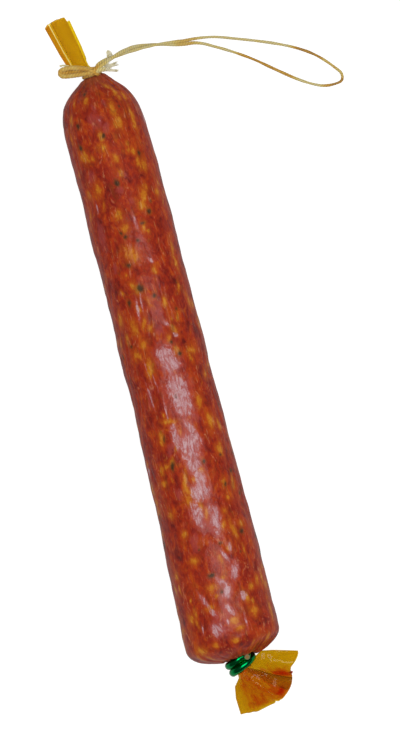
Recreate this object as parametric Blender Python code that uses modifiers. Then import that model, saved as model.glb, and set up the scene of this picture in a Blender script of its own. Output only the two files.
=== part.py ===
"""Dry-cured sausage in an amber casing, lying on its side.

The filled casing lies along Y on a narrow flat. Its +Y end is gathered and tied with twine, whose
doubled ends run out into a hanging loop, and its -Y end is gathered and closed with a bent wire clip.
Past each tie the empty casing stands out as a tail. Metres, +Z up, origin in the middle of the flat.
"""

import math

import bmesh
import bpy
import numpy as np
from mathutils import Matrix, Vector

MM = 0.001
COLLECTION = "cured_sausage"
CUTTERS = "cutters"

# Filled casing
TIED_END = 149.4 * MM
CLIPPED_END = -154.6 * MM
TIED_RADIUS = 21.2 * MM
CLIPPED_RADIUS = 24.6 * MM
SWELL_START = 21 * MM
SWELL_POWER = 1.15
TIED_SHOULDER = 32 * MM
TIED_ROUNDNESS = 2.5
CLIPPED_SHOULDER = 11.5 * MM
CLIPPED_ROUNDNESS = 2.2
DIMPLE_RADIUS = 11 * MM
DIMPLE_DEPTH = 4.8 * MM
TIED_NECK = 3.1 * MM
CLIPPED_NECK = 3.7 * MM
TIED_NECK_LENGTH = 3 * MM
CLIPPED_NECK_LENGTH = 5.6 * MM
CLIPPED_BEND = -152.4 * MM
BODY_SIDES = 48
SHOULDER_RINGS = 13
BARREL_RINGS = 15
AXIS_X = -2.2 * MM
BOW = 0.9 * MM
STUFFING_WAVE = 0.22 * MM
CLIPPED_SKEW = 0.06
CLIPPED_TILT = 0.16
DIMPLE_RINGS = 5
FLAT_DEPTH = 0.6 * MM
TIED_PLEATS = 9
CLIPPED_PLEATS = 12
PLEAT_DEPTH = 0.16

# Casing tails
JOINT_GAP = 0.3 * MM
TAIL_SIDES = 32
TOP_TAIL_ROUTE = [(-3.1, 153.2, 0.0), (-3.2, 155.4, 0.1), (-6.2, 158.0, 0.3), (-9.4, 163.0, 0.2), (-14.1, 181.8, -1.6)]
TOP_TAIL_MARKS = [0.0, 0.08, 0.2, 0.5, 1.0]
TOP_TAIL_WIDTHS = [6.0, 6.3, 10.6, 12.2, 13.2]
TOP_TAIL_THICKNESS = [6.0, 6.0, 5.2, 4.4, 3.8]
TOP_TAIL_RINGS = 12
TOP_TAIL_PLEATS = 5
FAN_LEFT_EDGE = [(-4.7, -160.9), (-4.3, -164.8), (-7.3, -168.8), (-8.9, -175.1), (-9.6, -181.8)]
FAN_MIDDLE = [(-1.2, -160.8), (-0.5, -164.4), (3.6, -169.6), (8.2, -175.0), (13.0, -179.8)]
FAN_RIGHT_EDGE = [(2.3, -160.7), (4.2, -162.2), (8.0, -158.5), (14.6, -155.3), (26.9, -159.2)]
FAN_RINGS = 14
FAN_OPEN = 0.35
FAN_THICKNESS = 3.6 * MM
FAN_DROOP = 5.0 * MM
FAN_RIPPLE = 1.5 * MM
FAN_SCALLOP = 1.1 * MM

# Wire clip
CLIP_WIRE = 3.9 * MM
CLIP_RADIUS = 6.0 * MM
CLIP_PITCH = 4.05 * MM
CLIP_LEAN = math.radians(18)
CLIP_START = math.radians(72)
CLIP_SWEEP = math.radians(545)
CLIP_CENTRE = (-1.8, -157.2)

# Twine
TWINE = 1.3 * MM
TIE_TWINE = 1.7 * MM
TIE_TURNS = 2
TIE_POINTS_A_TURN = 16
KNOT_ROUTE = [
    (-7.0, 155.4, 3.2), (-5.8, 154.4, 5.6), (-2.8, 153.0, 6.5), (0.2, 151.7, 5.4), (1.6, 151.0, 3.0),
]
LEFT_END = [
    (-4.8, 154.0, 5.6), (-8.8, 154.4, 5.0), (-13.0, 155.2, 3.9), (-16.8, 156.0, 2.8), (-19.3, 156.4, 2.2),
]
LEFT_END_WIDTHS = [1.8, 2.6, 3.8, 4.8, 5.6]
RIGHT_END = [
    (-1.0, 152.5, 5.5), (2.2, 152.2, 5.0), (5.2, 152.1, 4.1), (8.0, 152.2, 3.2), (10.4, 152.2, 2.6),
]
RIGHT_END_WIDTHS = [1.8, 2.0, 2.6, 3.6, 4.6]
END_THICKNESS = 1.5 * MM
END_SIDES = 12

# The loop's doubled stem, from the knot down to the surface, and then its open bight.
STEM_ROUTE = [
    (2.0, 155.1, 25.4), (5.4, 156.5, 24.2), (9.8, 157.9, 22.0), (14.6, 159.3, 18.8), (19.6, 160.4, 15.0),
    (25.1, 160.9, 11.0), (30.8, 160.9, 7.3), (36.5, 160.4, 4.4), (42.0, 159.6, 2.6), (47.1, 158.9, 1.9),
]
BIGHT_ROUTE = [
    (54.7, 159.4, 1.2), (63.4, 157.9, 0.8), (72.5, 154.8, 0.8), (82.7, 151.1, 0.8), (93.4, 146.8, 0.8),
    (103.0, 142.1, 0.8), (111.2, 136.6, 0.8), (117.9, 129.9, 0.8), (122.3, 123.9, 0.8),
    (123.4, 121.7, 0.8), (121.7, 120.1, 0.8), (116.2, 119.2, 0.8), (109.7, 120.5, 0.8),
    (100.5, 125.7, 0.8), (89.8, 133.9, 0.8), (79.7, 142.0, 0.8), (69.5, 148.8, 0.8), (60.9, 153.7, 0.8),
    (54.2, 157.0, 1.2),
]
STRAND_SPACING = 1.7 * MM
STEM_TWIST_LENGTH = 56 * MM
STEM_POINTS = 22
BIGHT_POINTS = 36

MEAT = {"colour": (0.30, 0.045, 0.022, 1.0), "roughness": 0.38, "metallic": 0.0}
FILM = {"colour": (0.62, 0.30, 0.01, 1.0), "roughness": 0.22, "metallic": 0.0}
WIRE = {"colour": (0.0, 0.22, 0.09, 1.0), "roughness": 0.3, "metallic": 0.9}
STRING = {"colour": (0.55, 0.42, 0.17, 1.0), "roughness": 0.85, "metallic": 0.0}


def clear_scene():
    """Removes what a new Blender file starts with."""
    for item in list(bpy.data.objects):
        bpy.data.objects.remove(item, do_unlink=True)


def new_collection(name):
    """Makes a collection in the scene."""
    collection = bpy.data.collections.new(name)
    bpy.context.scene.collection.children.link(collection)
    return collection


def add_object(name, data, collection):
    """Makes an object of a mesh or a curve in a collection."""
    item = bpy.data.objects.new(name, data)
    collection.objects.link(item)
    return item


def dress(item, name, look):
    """Gives an object its own material, made from a colour, a roughness and a metallic value."""
    material = bpy.data.materials.new(name)
    material.use_nodes = True
    surface = material.node_tree.nodes["Principled BSDF"]
    surface.inputs["Base Color"].default_value = look["colour"]
    surface.inputs["Roughness"].default_value = look["roughness"]
    surface.inputs["Metallic"].default_value = look["metallic"]
    item.data.materials.append(material)


def millimetres(points):
    """Points given in millimetres as vectors in metres."""
    return [Vector(point) * MM for point in points]


def smooth_step(value):
    """Eases from 0 to 1 as value goes from 0 to 1."""
    held = min(1.0, max(0.0, value))
    return held * held * (3 - 2 * held)


def smooth_route(points, count):
    """Evenly spaced points on one smooth curve through the given points (Catmull-Rom)."""
    padded = [2 * points[0] - points[1], *points, 2 * points[-1] - points[-2]]
    fine = []
    for a, b, c, d in zip(padded, padded[1:], padded[2:], padded[3:]):
        for step in range(12):
            t = step / 12
            fine.append(
                0.5 * ((2 * b) + (c - a) * t + (2 * a - 5 * b + 4 * c - d) * t**2 + (3 * b - a - 3 * c + d) * t**3)
            )
    fine.append(points[-1])
    along = np.concatenate([[0], np.cumsum([(q - p).length for p, q in zip(fine, fine[1:])])])
    wanted = np.linspace(0, along[-1], count)
    columns = [np.interp(wanted, along, [point[axis] for point in fine]) for axis in range(3)]
    return [Vector(point) for point in zip(*columns)]


def tube(name, points, radius, resolution, collection):
    """A capped round tube along points: a poly curve with a bevel."""
    curve = bpy.data.curves.new(name, "CURVE")
    curve.dimensions = "3D"
    curve.bevel_depth = radius
    curve.bevel_resolution = resolution
    curve.use_fill_caps = True
    spline = curve.splines.new("POLY")
    spline.points.add(len(points) - 1)
    for knot, point in zip(spline.points, points):
        knot.co = (*point, 1.0)
    return add_object(name, curve, collection)


def as_mesh(curve_object, collection):
    """The mesh of a curve object with its caps welded on, in place of the curve."""
    bpy.context.view_layer.update()
    evaluated = curve_object.evaluated_get(bpy.context.evaluated_depsgraph_get())
    mesh = bpy.data.meshes.new_from_object(evaluated)
    work = bmesh.new()
    work.from_mesh(mesh)
    bmesh.ops.remove_doubles(work, verts=work.verts, dist=0.001 * MM)
    work.to_mesh(mesh)
    work.free()
    name, matrix = curve_object.name, curve_object.matrix_world.copy()
    bpy.data.objects.remove(curve_object, do_unlink=True)
    item = add_object(name, mesh, collection)
    item.matrix_world = matrix
    return item


def loft(name, rings, collection):
    """A closed solid skinned through rings of equal point counts, with a flat face at each end."""
    work = bmesh.new()
    made = [[work.verts.new(point) for point in ring] for ring in rings]
    count = len(made[0])
    for lower, upper in zip(made, made[1:]):
        for k in range(count):
            n = (k + 1) % count
            work.faces.new((lower[k], lower[n], upper[n], upper[k]))
    work.faces.new(reversed(made[0]))
    work.faces.new(made[-1])
    bmesh.ops.recalc_face_normals(work, faces=work.faces)
    mesh = bpy.data.meshes.new(name)
    work.to_mesh(mesh)
    work.free()
    return add_object(name, mesh, collection)


def barrel_radius(y):
    """The stuffed casing's radius between its shoulders: even at first, then swelling to the clip."""
    share = min(1.0, max(0.0, (SWELL_START - y) / (SWELL_START - CLIPPED_END)))
    wave = STUFFING_WAVE * (math.sin(y / (9.0 * MM)) + 0.6 * math.sin(y / (5.3 * MM) + 1.0))
    return TIED_RADIUS + (CLIPPED_RADIUS - TIED_RADIUS) * share**SWELL_POWER + wave


def end_share(distance, depth, roundness):
    """How much of the full radius a closed end has at a distance in from its neck."""
    inward = max(0.0, 1 - max(0.0, distance) / depth)
    return math.sqrt(1 - inward**roundness)


def body_radius(y):
    """The filled casing's radius at y, up to the rim of the dimple round the clipped neck."""
    tied = end_share(TIED_END - y, TIED_SHOULDER, TIED_ROUNDNESS)
    clipped = end_share(y - CLIPPED_END, CLIPPED_SHOULDER, CLIPPED_ROUNDNESS)
    return math.hypot(barrel_radius(y) * tied * clipped, TIED_NECK)


def axis_height(y):
    """Height of the casing's axis, so that its underside lies along the surface it rests on."""
    held = max(CLIPPED_END + CLIPPED_SHOULDER, y)
    share = min(1.0, max(0.0, (SWELL_START - held) / (SWELL_START - CLIPPED_END)))
    return TIED_RADIUS + (CLIPPED_RADIUS - TIED_RADIUS) * share**SWELL_POWER - FLAT_DEPTH


def axis_offset(y):
    """Sideways bow of the casing's axis: its ends lean a little towards -X."""
    return AXIS_X - BOW * (y / TIED_END) ** 2


def body_profile():
    """(Radius, y) pairs from the tied neck down to the clipped one, closer together in the ends."""
    steps = np.linspace(0, 1, SHOULDER_RINGS) ** 2
    tied = TIED_END - TIED_SHOULDER * steps
    clipped = CLIPPED_END + CLIPPED_SHOULDER * steps[:0:-1]
    barrel = np.linspace(tied[-1], clipped[0], BARREL_RINGS + 2)[1:-1]
    outer = [(body_radius(y), y) for y in (*tied, *barrel, *clipped)]
    outer = [(radius, y) for radius, y in outer if y > 0 or radius > DIMPLE_RADIUS]
    rim = outer[-1]
    dimple = []
    for share in np.linspace(0, 1, DIMPLE_RINGS + 1)[1:]:
        radius = rim[0] + (CLIPPED_NECK - rim[0]) * share
        dimple.append((radius, rim[1] + DIMPLE_DEPTH * smooth_step(share) - 0.4 * MM * math.sin(math.pi * share)))
    tied_neck, clipped_neck = TIED_END + TIED_NECK_LENGTH, CLIPPED_END - CLIPPED_NECK_LENGTH
    tied = [(0.0, tied_neck), (TIED_NECK, tied_neck)]
    clipped = [(CLIPPED_NECK, CLIPPED_BEND), (CLIPPED_NECK, clipped_neck), (0.0, clipped_neck)]
    return [*tied, *outer, *dimple, *clipped]


def pleat_share(radius, y, angle):
    """How far the gathered casing folds in at an angle round the axis, as a share of its radius."""
    near_tie = 1 - smooth_step((TIED_END - y) / (0.75 * TIED_SHOULDER))
    near_clip = 1 - smooth_step((y - CLIPPED_END) / (0.95 * CLIPPED_SHOULDER))
    free = smooth_step((radius - CLIPPED_NECK) / CLIPPED_NECK)
    tied_fold = near_tie * (0.5 + 0.5 * math.cos(TIED_PLEATS * angle + 0.6))
    clipped_fold = near_clip * (0.5 + 0.5 * math.cos(CLIPPED_PLEATS * angle))
    return PLEAT_DEPTH * free * (tied_fold + clipped_fold)


def turned_mesh(name, profile, sides, collection):
    """A mesh turned about Z from (radius, height) pairs that run from its top to its bottom."""
    mesh = bpy.data.meshes.new(name)
    points = [(radius, 0.0, height) for radius, height in profile]
    mesh.from_pydata(points, [(k, k + 1) for k in range(len(points) - 1)], [])
    guide = add_object(name, mesh, collection)
    screw = guide.modifiers.new("turn", "SCREW")
    screw.steps = screw.render_steps = sides
    screw.use_merge_vertices = True
    screw.merge_threshold = 0.01 * MM
    bpy.context.view_layer.update()
    turned = bpy.data.meshes.new_from_object(guide.evaluated_get(bpy.context.evaluated_depsgraph_get()))
    bpy.data.objects.remove(guide, do_unlink=True)
    return turned


def gather(mesh):
    """Lays a body turned about Z along Y, and folds its ends into pleats round their necks."""
    for vertex in mesh.vertices:
        y = vertex.co.z
        angle = math.atan2(-vertex.co.y, vertex.co.x)
        radius = math.hypot(vertex.co.x, vertex.co.y)
        radius *= 1 - pleat_share(radius, y, angle)
        across, up = radius * math.cos(angle), radius * math.sin(angle)
        near_clip = 1 - smooth_step((y - CLIPPED_END) / (2.5 * CLIPPED_SHOULDER))
        free = smooth_step((radius - CLIPPED_NECK) / CLIPPED_NECK)
        slant = free * near_clip * (CLIPPED_SKEW * across + CLIPPED_TILT * up)
        drift = math.tan(CLIP_LEAN) * max(0.0, CLIPPED_BEND - y)
        vertex.co = (axis_offset(y) + across + drift, y + slant, axis_height(y) + up)


def build_body(parts, cutters):
    """The casing filled with meat, cut flat underneath where it rests."""
    mesh = turned_mesh("sausage_body", body_profile(), BODY_SIDES, parts)
    gather(mesh)
    body = add_object("sausage_body", mesh, parts)
    bpy.ops.mesh.primitive_cube_add(size=1.0, location=(0, 0, -CLIPPED_RADIUS / 2))
    surface = bpy.context.active_object
    surface.name = "resting_surface"
    surface.scale = (4 * CLIPPED_RADIUS, 2.4 * TIED_END, CLIPPED_RADIUS)
    for owner in list(surface.users_collection):
        owner.objects.unlink(surface)
    cutters.objects.link(surface)
    surface.hide_render = True
    surface.display_type = "WIRE"
    cut = body.modifiers.new("resting_flat", "BOOLEAN")
    cut.operation = "DIFFERENCE"
    cut.solver = "EXACT"
    cut.object = surface
    mesh.shade_smooth()
    mesh.set_sharp_from_angle(angle=math.radians(40))
    dress(body, "cured_meat", MEAT)
    return body


def oval_ring(centre, across, up, width, thickness, pleats, depth):
    """A flattened ring about a centre, its two broad sides grooved by pleats."""
    ring = []
    for k in range(TAIL_SIDES):
        angle = 2 * math.pi * k / TAIL_SIDES
        groove = 1 - depth * (0.5 + 0.5 * math.cos(pleats * angle + 0.9))
        side = across * (0.5 * width * math.cos(angle))
        ring.append(centre + side + up * (0.5 * thickness * groove * math.sin(angle)))
    return ring


def build_top_tail(parts):
    """The empty casing past the twine: flattened, pleated lengthwise and cut off square."""
    neck_height = axis_height(TIED_END)
    knots = [Vector((x, y, z)) * MM + Vector((0, 0, neck_height)) for x, y, z in TOP_TAIL_ROUTE]
    route = smooth_route(knots, TOP_TAIL_RINGS)
    shares = np.linspace(0, 1, TOP_TAIL_RINGS)
    rings = []
    for k, (share, centre) in enumerate(zip(shares, route)):
        along = (route[min(k + 1, len(route) - 1)] - route[max(k - 1, 0)]).normalized()
        across = along.cross(Vector((0, 0, 1))).normalized()
        width = np.interp(share, TOP_TAIL_MARKS, TOP_TAIL_WIDTHS) * MM
        thickness = np.interp(share, TOP_TAIL_MARKS, TOP_TAIL_THICKNESS) * MM
        up = across.cross(along)
        rings.append(oval_ring(centre, across, up, width, thickness, TOP_TAIL_PLEATS, 0.35 * share))
    tail = loft("casing_tail_top", rings, parts)
    dress(tail, "tail_film_top", FILM)
    return tail


def fan_front(share):
    """Three points of the spread tail at a share of its length: its left edge, middle and right edge."""
    marks = np.linspace(0, 1, len(FAN_MIDDLE))
    edges = (FAN_LEFT_EDGE, FAN_MIDDLE, FAN_RIGHT_EDGE)
    return [[np.interp(share, marks, [point[axis] for point in edge]) * MM for axis in (0, 1)] for edge in edges]


def fan_point(share, angle, neck_height):
    """A point of the spread tail: share runs from the clip to the cut edge, angle runs round the film."""
    place = 0.5 - 0.5 * math.cos(angle)
    weights = (2 * (place - 0.5) * (place - 1), 4 * place * (1 - place), 2 * place * (place - 0.5))
    front = fan_front(share)
    x, y = (sum(weight * point[axis] for weight, point in zip(weights, front)) for axis in (0, 1))
    opened = smooth_step(share / FAN_OPEN)
    radius = math.dist(front[0], front[2]) / 2
    thickness = radius + (FAN_THICKNESS / 2 - radius) * opened
    ripple = FAN_RIPPLE * share * math.sin(15 * place + 0.5)
    x += FAN_SCALLOP * share**3 * math.sin(21 * place)
    y += FAN_SCALLOP * share**3 * math.cos(17 * place)
    return Vector((x, y, neck_height + thickness * math.sin(angle) + ripple - FAN_DROOP * share**1.5))


def build_bottom_tail(parts):
    """The empty casing past the clip: crumpled open into a fan with an uneven cut edge."""
    neck_height = axis_height(CLIPPED_END)
    rings = []
    for share in np.linspace(0, 1, FAN_RINGS):
        angles = [2 * math.pi * k / TAIL_SIDES for k in range(TAIL_SIDES)]
        rings.append([fan_point(share, angle, neck_height) for angle in angles])
    tail = loft("casing_tail_bottom", rings, parts)
    dress(tail, "tail_film_bottom", FILM)
    return tail


def helix(centre, axis, across, radius, pitch, start, sweep, count):
    """Points along a helix about an axis, starting at an angle from across towards +Z."""
    up = Vector((0, 0, 1))
    points = []
    for share in np.linspace(0, 1, count):
        angle = start + sweep * share
        advance = pitch * abs(sweep) * (share - 0.5) / (2 * math.pi)
        points.append(centre + radius * (across * math.cos(angle) + up * math.sin(angle)) + axis * advance)
    return points


def build_clip(parts):
    """The closing clip: one thick wire bent about one and a half times round the neck."""
    axis = Vector((math.sin(CLIP_LEAN), -math.cos(CLIP_LEAN), 0))
    across = Vector((math.cos(CLIP_LEAN), math.sin(CLIP_LEAN), 0))
    centre = Vector((CLIP_CENTRE[0] * MM, CLIP_CENTRE[1] * MM, axis_height(CLIPPED_END)))
    points = helix(centre, axis, across, CLIP_RADIUS, CLIP_PITCH, CLIP_START, CLIP_SWEEP, 40)
    clip = tube("clip_wire", points, CLIP_WIRE / 2, 3, parts)
    dress(clip, "anodised_wire", WIRE)
    return clip


def build_end(name, route, widths, neck_height, collection):
    """A cut end of the twine, untwisted into a flat brush that widens towards its tip."""
    knots = [Vector((x, y, z)) * MM + Vector((0, 0, neck_height)) for x, y, z in route]
    rings = []
    for k, (centre, width) in enumerate(zip(knots, widths)):
        along = (knots[min(k + 1, len(knots) - 1)] - knots[max(k - 1, 0)]).normalized()
        across = along.cross(Vector((0, 0, 1))).normalized()
        up = across.cross(along)
        angles = [2 * math.pi * j / END_SIDES for j in range(END_SIDES)]
        broad, flat = 0.5 * width * MM, 0.5 * END_THICKNESS
        rings.append([centre + across * (broad * math.cos(a)) + up * (flat * math.sin(a)) for a in angles])
    return loft(name, rings, collection)


def build_tie(parts, cutters):
    """The twine round the tied neck: its turns, the hitch across them and its two cut ends."""
    neck_height = axis_height(TIED_END)
    centre = Vector((axis_offset(TIED_END), TIED_END + 3.1 * MM, neck_height))
    lean = math.radians(-6)
    axis = Vector((math.sin(lean), math.cos(lean), 0))
    across = Vector((math.cos(lean), -math.sin(lean), 0))
    radius = TIED_NECK + JOINT_GAP + 0.5 * TIE_TWINE
    count = TIE_TURNS * TIE_POINTS_A_TURN
    turns = helix(centre, axis, across, radius, TIE_TWINE + 0.1 * MM, 0.0, 2 * math.pi * TIE_TURNS, count)
    tie = as_mesh(tube("twine_tie", turns, TIE_TWINE / 2, 2, parts), parts)
    knots = [Vector((x, y, z)) * MM + Vector((0, 0, neck_height)) for x, y, z in KNOT_ROUTE]
    hitch = as_mesh(tube("hitch", smooth_route(knots, 14), TIE_TWINE / 2, 2, cutters), cutters)
    left = build_end("left_end", LEFT_END, LEFT_END_WIDTHS, neck_height, cutters)
    right = build_end("right_end", RIGHT_END, RIGHT_END_WIDTHS, neck_height, cutters)
    for piece in (hitch, left, right):
        piece.hide_render = True
        piece.display_type = "WIRE"
        join = tie.modifiers.new("join_" + piece.name, "BOOLEAN")
        join.operation = "UNION"
        join.solver = "EXACT"
        join.object = piece
    dress(tie, "tie_twine", STRING)
    return tie


def strand(route, side):
    """One strand of the twisted stem, beside its centre route on one side or the other."""
    along = np.concatenate([[0], np.cumsum([(q - p).length for p, q in zip(route, route[1:])])])
    points = []
    for k, centre in enumerate(route):
        forward = (route[min(k + 1, len(route) - 1)] - route[max(k - 1, 0)]).normalized()
        across = forward.cross(Vector((0, 0, 1))).normalized()
        up = across.cross(forward)
        turn = 2 * math.pi * (along[k] - along[-1]) / STEM_TWIST_LENGTH
        lift = max(0.0, 1 - along[k] / along[-1])
        offset = across * math.cos(turn) + up * (math.sin(turn) * smooth_step(2.5 * lift))
        points.append(centre + offset * (side * STRAND_SPACING / 2))
    return points


def build_loop(parts):
    """The hanging loop: one length of twine out along the stem, round the bight and back."""
    stem = smooth_route(millimetres(STEM_ROUTE), STEM_POINTS)
    outward, homeward = strand(stem, -1), strand(stem, 1)
    bight = [outward[-1], *millimetres(BIGHT_ROUTE), homeward[-1]]
    points = [*outward[:-1], *smooth_route(bight, BIGHT_POINTS), *reversed(homeward[:-1])]
    loop = tube("twine_loop", points, TWINE / 2, 2, parts)
    dress(loop, "loop_twine", STRING)
    return loop


def main():
    """Builds every node of the sausage."""
    clear_scene()
    parts = new_collection(COLLECTION)
    cutters = new_collection(CUTTERS)
    build_body(parts, cutters)
    build_top_tail(parts)
    build_bottom_tail(parts)
    build_clip(parts)
    build_tie(parts, cutters)
    build_loop(parts)


main()
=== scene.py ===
"""Looks of a dry-cured sausage in an amber collagen casing, lying on its side.

The filled casing lies along Y. Its +Y end is gathered and tied with twine that runs out into a hanging
loop, and its -Y end is closed with a bent wire clip. The empty casing stands out past both ties.
Every shape is a function of two parameters worked out on a grid, in metres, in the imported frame.
"""

import logging
import math
from dataclasses import dataclass
from enum import Enum
from typing import Any

import bpy
import numpy as np
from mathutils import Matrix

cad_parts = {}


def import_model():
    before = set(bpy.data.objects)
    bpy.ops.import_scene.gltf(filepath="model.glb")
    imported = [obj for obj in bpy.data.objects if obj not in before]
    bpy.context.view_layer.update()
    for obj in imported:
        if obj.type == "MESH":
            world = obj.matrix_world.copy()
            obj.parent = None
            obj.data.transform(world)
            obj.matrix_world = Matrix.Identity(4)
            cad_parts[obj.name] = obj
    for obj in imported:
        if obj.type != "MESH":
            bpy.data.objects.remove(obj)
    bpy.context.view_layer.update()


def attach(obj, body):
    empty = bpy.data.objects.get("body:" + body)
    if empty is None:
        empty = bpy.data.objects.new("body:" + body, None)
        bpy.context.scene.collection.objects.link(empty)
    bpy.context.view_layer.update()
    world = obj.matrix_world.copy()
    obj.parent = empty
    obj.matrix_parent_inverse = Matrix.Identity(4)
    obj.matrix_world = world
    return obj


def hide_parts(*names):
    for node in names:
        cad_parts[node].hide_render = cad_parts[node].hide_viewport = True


Array = np.ndarray
Colour = tuple[float, float, float, float]

MM = 0.001
UP = np.array([0.0, 0.0, 1.0])
TURN = 2 * math.pi

log = logging.getLogger("sausage")


class Slot(Enum):
    """Names of the material slots."""

    MEAT = "cased_meat"
    FILM = "casing_film"
    CLIP = "clip"
    TWINE = "twine"


# ---------------------------------------------------------------- numbers and curves


def linear(code: str) -> Colour:
    """Turns an sRGB hex colour into linear light.

    Args:
        code: Six hex digits after a hash.

    Returns:
        Red, green, blue and an alpha of 1, by the sRGB curve.
    """
    shares = [int(code[k : k + 2], 16) / 255 for k in (1, 3, 5)]
    return (*(v / 12.92 if v <= 0.04045 else ((v + 0.055) / 1.055) ** 2.4 for v in shares), 1.0)


def ease(value: Array) -> Array:
    """Rises smoothly from 0 to 1 as value does: t * t * (3 - 2 * t)."""
    held = np.clip(value, 0.0, 1.0)
    return held * held * (3 - 2 * held)


def unit(vectors: Array) -> Array:
    """Vectors scaled to length 1 along the last axis."""
    return vectors / np.maximum(np.linalg.norm(vectors, axis=-1, keepdims=True), 1e-12)


def lengths_along(points: Array) -> Array:
    """Distance from the first point of a line to each of its points."""
    return np.concatenate([[0.0], np.cumsum(np.linalg.norm(np.diff(points, axis=0), axis=1))])


def resample(points: Array, count: int) -> Array:
    """Evenly spaced points on a line of straight runs.

    Args:
        points: The line's points, one a row.
        count: How many points to return.

    Returns:
        The new points, from the first to the last.
    """
    along = lengths_along(points)
    wanted = np.linspace(0.0, along[-1], count)
    return np.stack([np.interp(wanted, along, column) for column in points.T], axis=1)


def smooth_route(points: Array, count: int, steps: int = 12) -> Array:
    """Evenly spaced points on one smooth curve through the given points.

    Between b and c, with neighbours a and d, the curve is the Catmull-Rom blend
    (2b + (c - a)t + (2a - 5b + 4c - d)t^2 + (3b - a - 3c + d)t^3) / 2.

    Args:
        points: The points that the curve passes through, one a row.
        count: How many points to return.
        steps: Fine steps in each span before the even spacing.

    Returns:
        The new points, from the first to the last.
    """
    padded = np.vstack([2 * points[0] - points[1], points, 2 * points[-1] - points[-2]])
    a, b, c, d = (padded[k : k + len(points) - 1, None] for k in range(4))
    t = (np.arange(steps) / steps)[None, :, None]
    fine = 0.5 * (2 * b + (c - a) * t + (2 * a - 5 * b + 4 * c - d) * t**2 + (3 * b - a - 3 * c + d) * t**3)
    return resample(np.vstack([fine.reshape(-1, points.shape[1]), points[-1]]), count)


def closed_route(points: Array, count: int) -> Array:
    """Points on one smooth closed curve through the given points, the first of them not repeated."""
    looped = np.vstack([points[-3:], points, points[:4]])
    fine = smooth_route(looped, 60 * len(looped), steps=40)
    first = np.argmin(np.linalg.norm(fine[: len(fine) // 2] - points[0], axis=1))
    last = len(fine) // 2 + np.argmin(np.linalg.norm(fine[len(fine) // 2 :] - points[0], axis=1))
    return resample(fine[first : last + 1], count + 1)[:-1]


def lattice_noise(rng: np.random.Generator, rows: int, columns: int, along: Array, around: Array) -> Array:
    """A smooth random field that closes on itself round a piece.

    Heights from 0 to 1 stand on a lattice of rows along the piece and columns round it, and the
    field between four of them is their blend by t * t * (3 - 2 * t) both ways.

    Args:
        rng: Where the heights come from.
        rows: Lattice spans along the piece.
        columns: Lattice spans round the piece.
        along: Place along the piece, 0 to 1.
        around: Place round the piece, in turns.

    Returns:
        The field at each place.
    """
    heights = rng.random((rows + 2, columns))
    v = np.clip(along, 0.0, 1.0) * rows
    u = np.mod(around, 1.0) * columns
    i, j = np.floor(v).astype(int), np.floor(u).astype(int) % columns
    tv, tu = ease(v - i), ease(u - np.floor(u))
    k = (j + 1) % columns
    lower = heights[i, j] * (1 - tu) + heights[i, k] * tu
    upper = heights[i + 1, j] * (1 - tu) + heights[i + 1, k] * tu
    return lower * (1 - tv) + upper * tv


def creases(noise: Array, sharpness: float) -> Array:
    """Thin lines where a field crosses its middle: (1 - |2n - 1|) to the power sharpness."""
    return (1 - np.abs(2 * noise - 1)) ** sharpness


# ---------------------------------------------------------------- meshes


@dataclass
class Skin:
    """Points, faces and the flat coordinates of each face's corners, ready to become a mesh."""

    points: Array
    quads: Array
    quad_uv: Array
    triangles: Array
    triangle_uv: Array

    def signed_volume(self) -> float:
        """Volume that the faces enclose, below zero when they face inwards: sum of a . (b x c) / 6."""
        quads, extra = self.quads, self.triangles.reshape(-1, 3)
        triangles = np.concatenate([quads[:, [0, 1, 2]], quads[:, [0, 2, 3]], extra])
        a, b, c = (self.points[triangles[:, k]] for k in range(3))
        return float(np.einsum("ij,ij->i", a, np.cross(b, c)).sum() / 6)

    def mesh(self, name: str) -> bpy.types.Mesh:
        """Builds the mesh, turned so that its faces point outwards.

        Args:
            name: The mesh's name.

        Returns:
            A smooth-shaded mesh with a UV map.
        """
        way = slice(None) if self.signed_volume() > 0 else slice(None, None, -1)
        quads, triangles = self.quads[:, way], self.triangles[:, way]
        corners = np.concatenate([quads.ravel(), triangles.ravel()])
        sizes = np.concatenate([np.full(len(quads), 4), np.full(len(triangles), 3)])
        uv = np.concatenate([self.quad_uv[:, way].reshape(-1, 2), self.triangle_uv[:, way].reshape(-1, 2)])
        mesh = bpy.data.meshes.new(name)
        mesh.vertices.add(len(self.points))
        mesh.vertices.foreach_set("co", self.points.astype(np.float32).ravel())
        mesh.loops.add(len(corners))
        mesh.loops.foreach_set("vertex_index", corners.astype(np.int32))
        mesh.polygons.add(len(sizes))
        mesh.polygons.foreach_set("loop_start", (np.cumsum(sizes) - sizes).astype(np.int32))
        mesh.update(calc_edges=True)
        mesh.uv_layers.new(name="UVMap").uv.foreach_set("vector", uv.astype(np.float32).ravel())
        mesh.shade_smooth()
        return mesh


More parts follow.
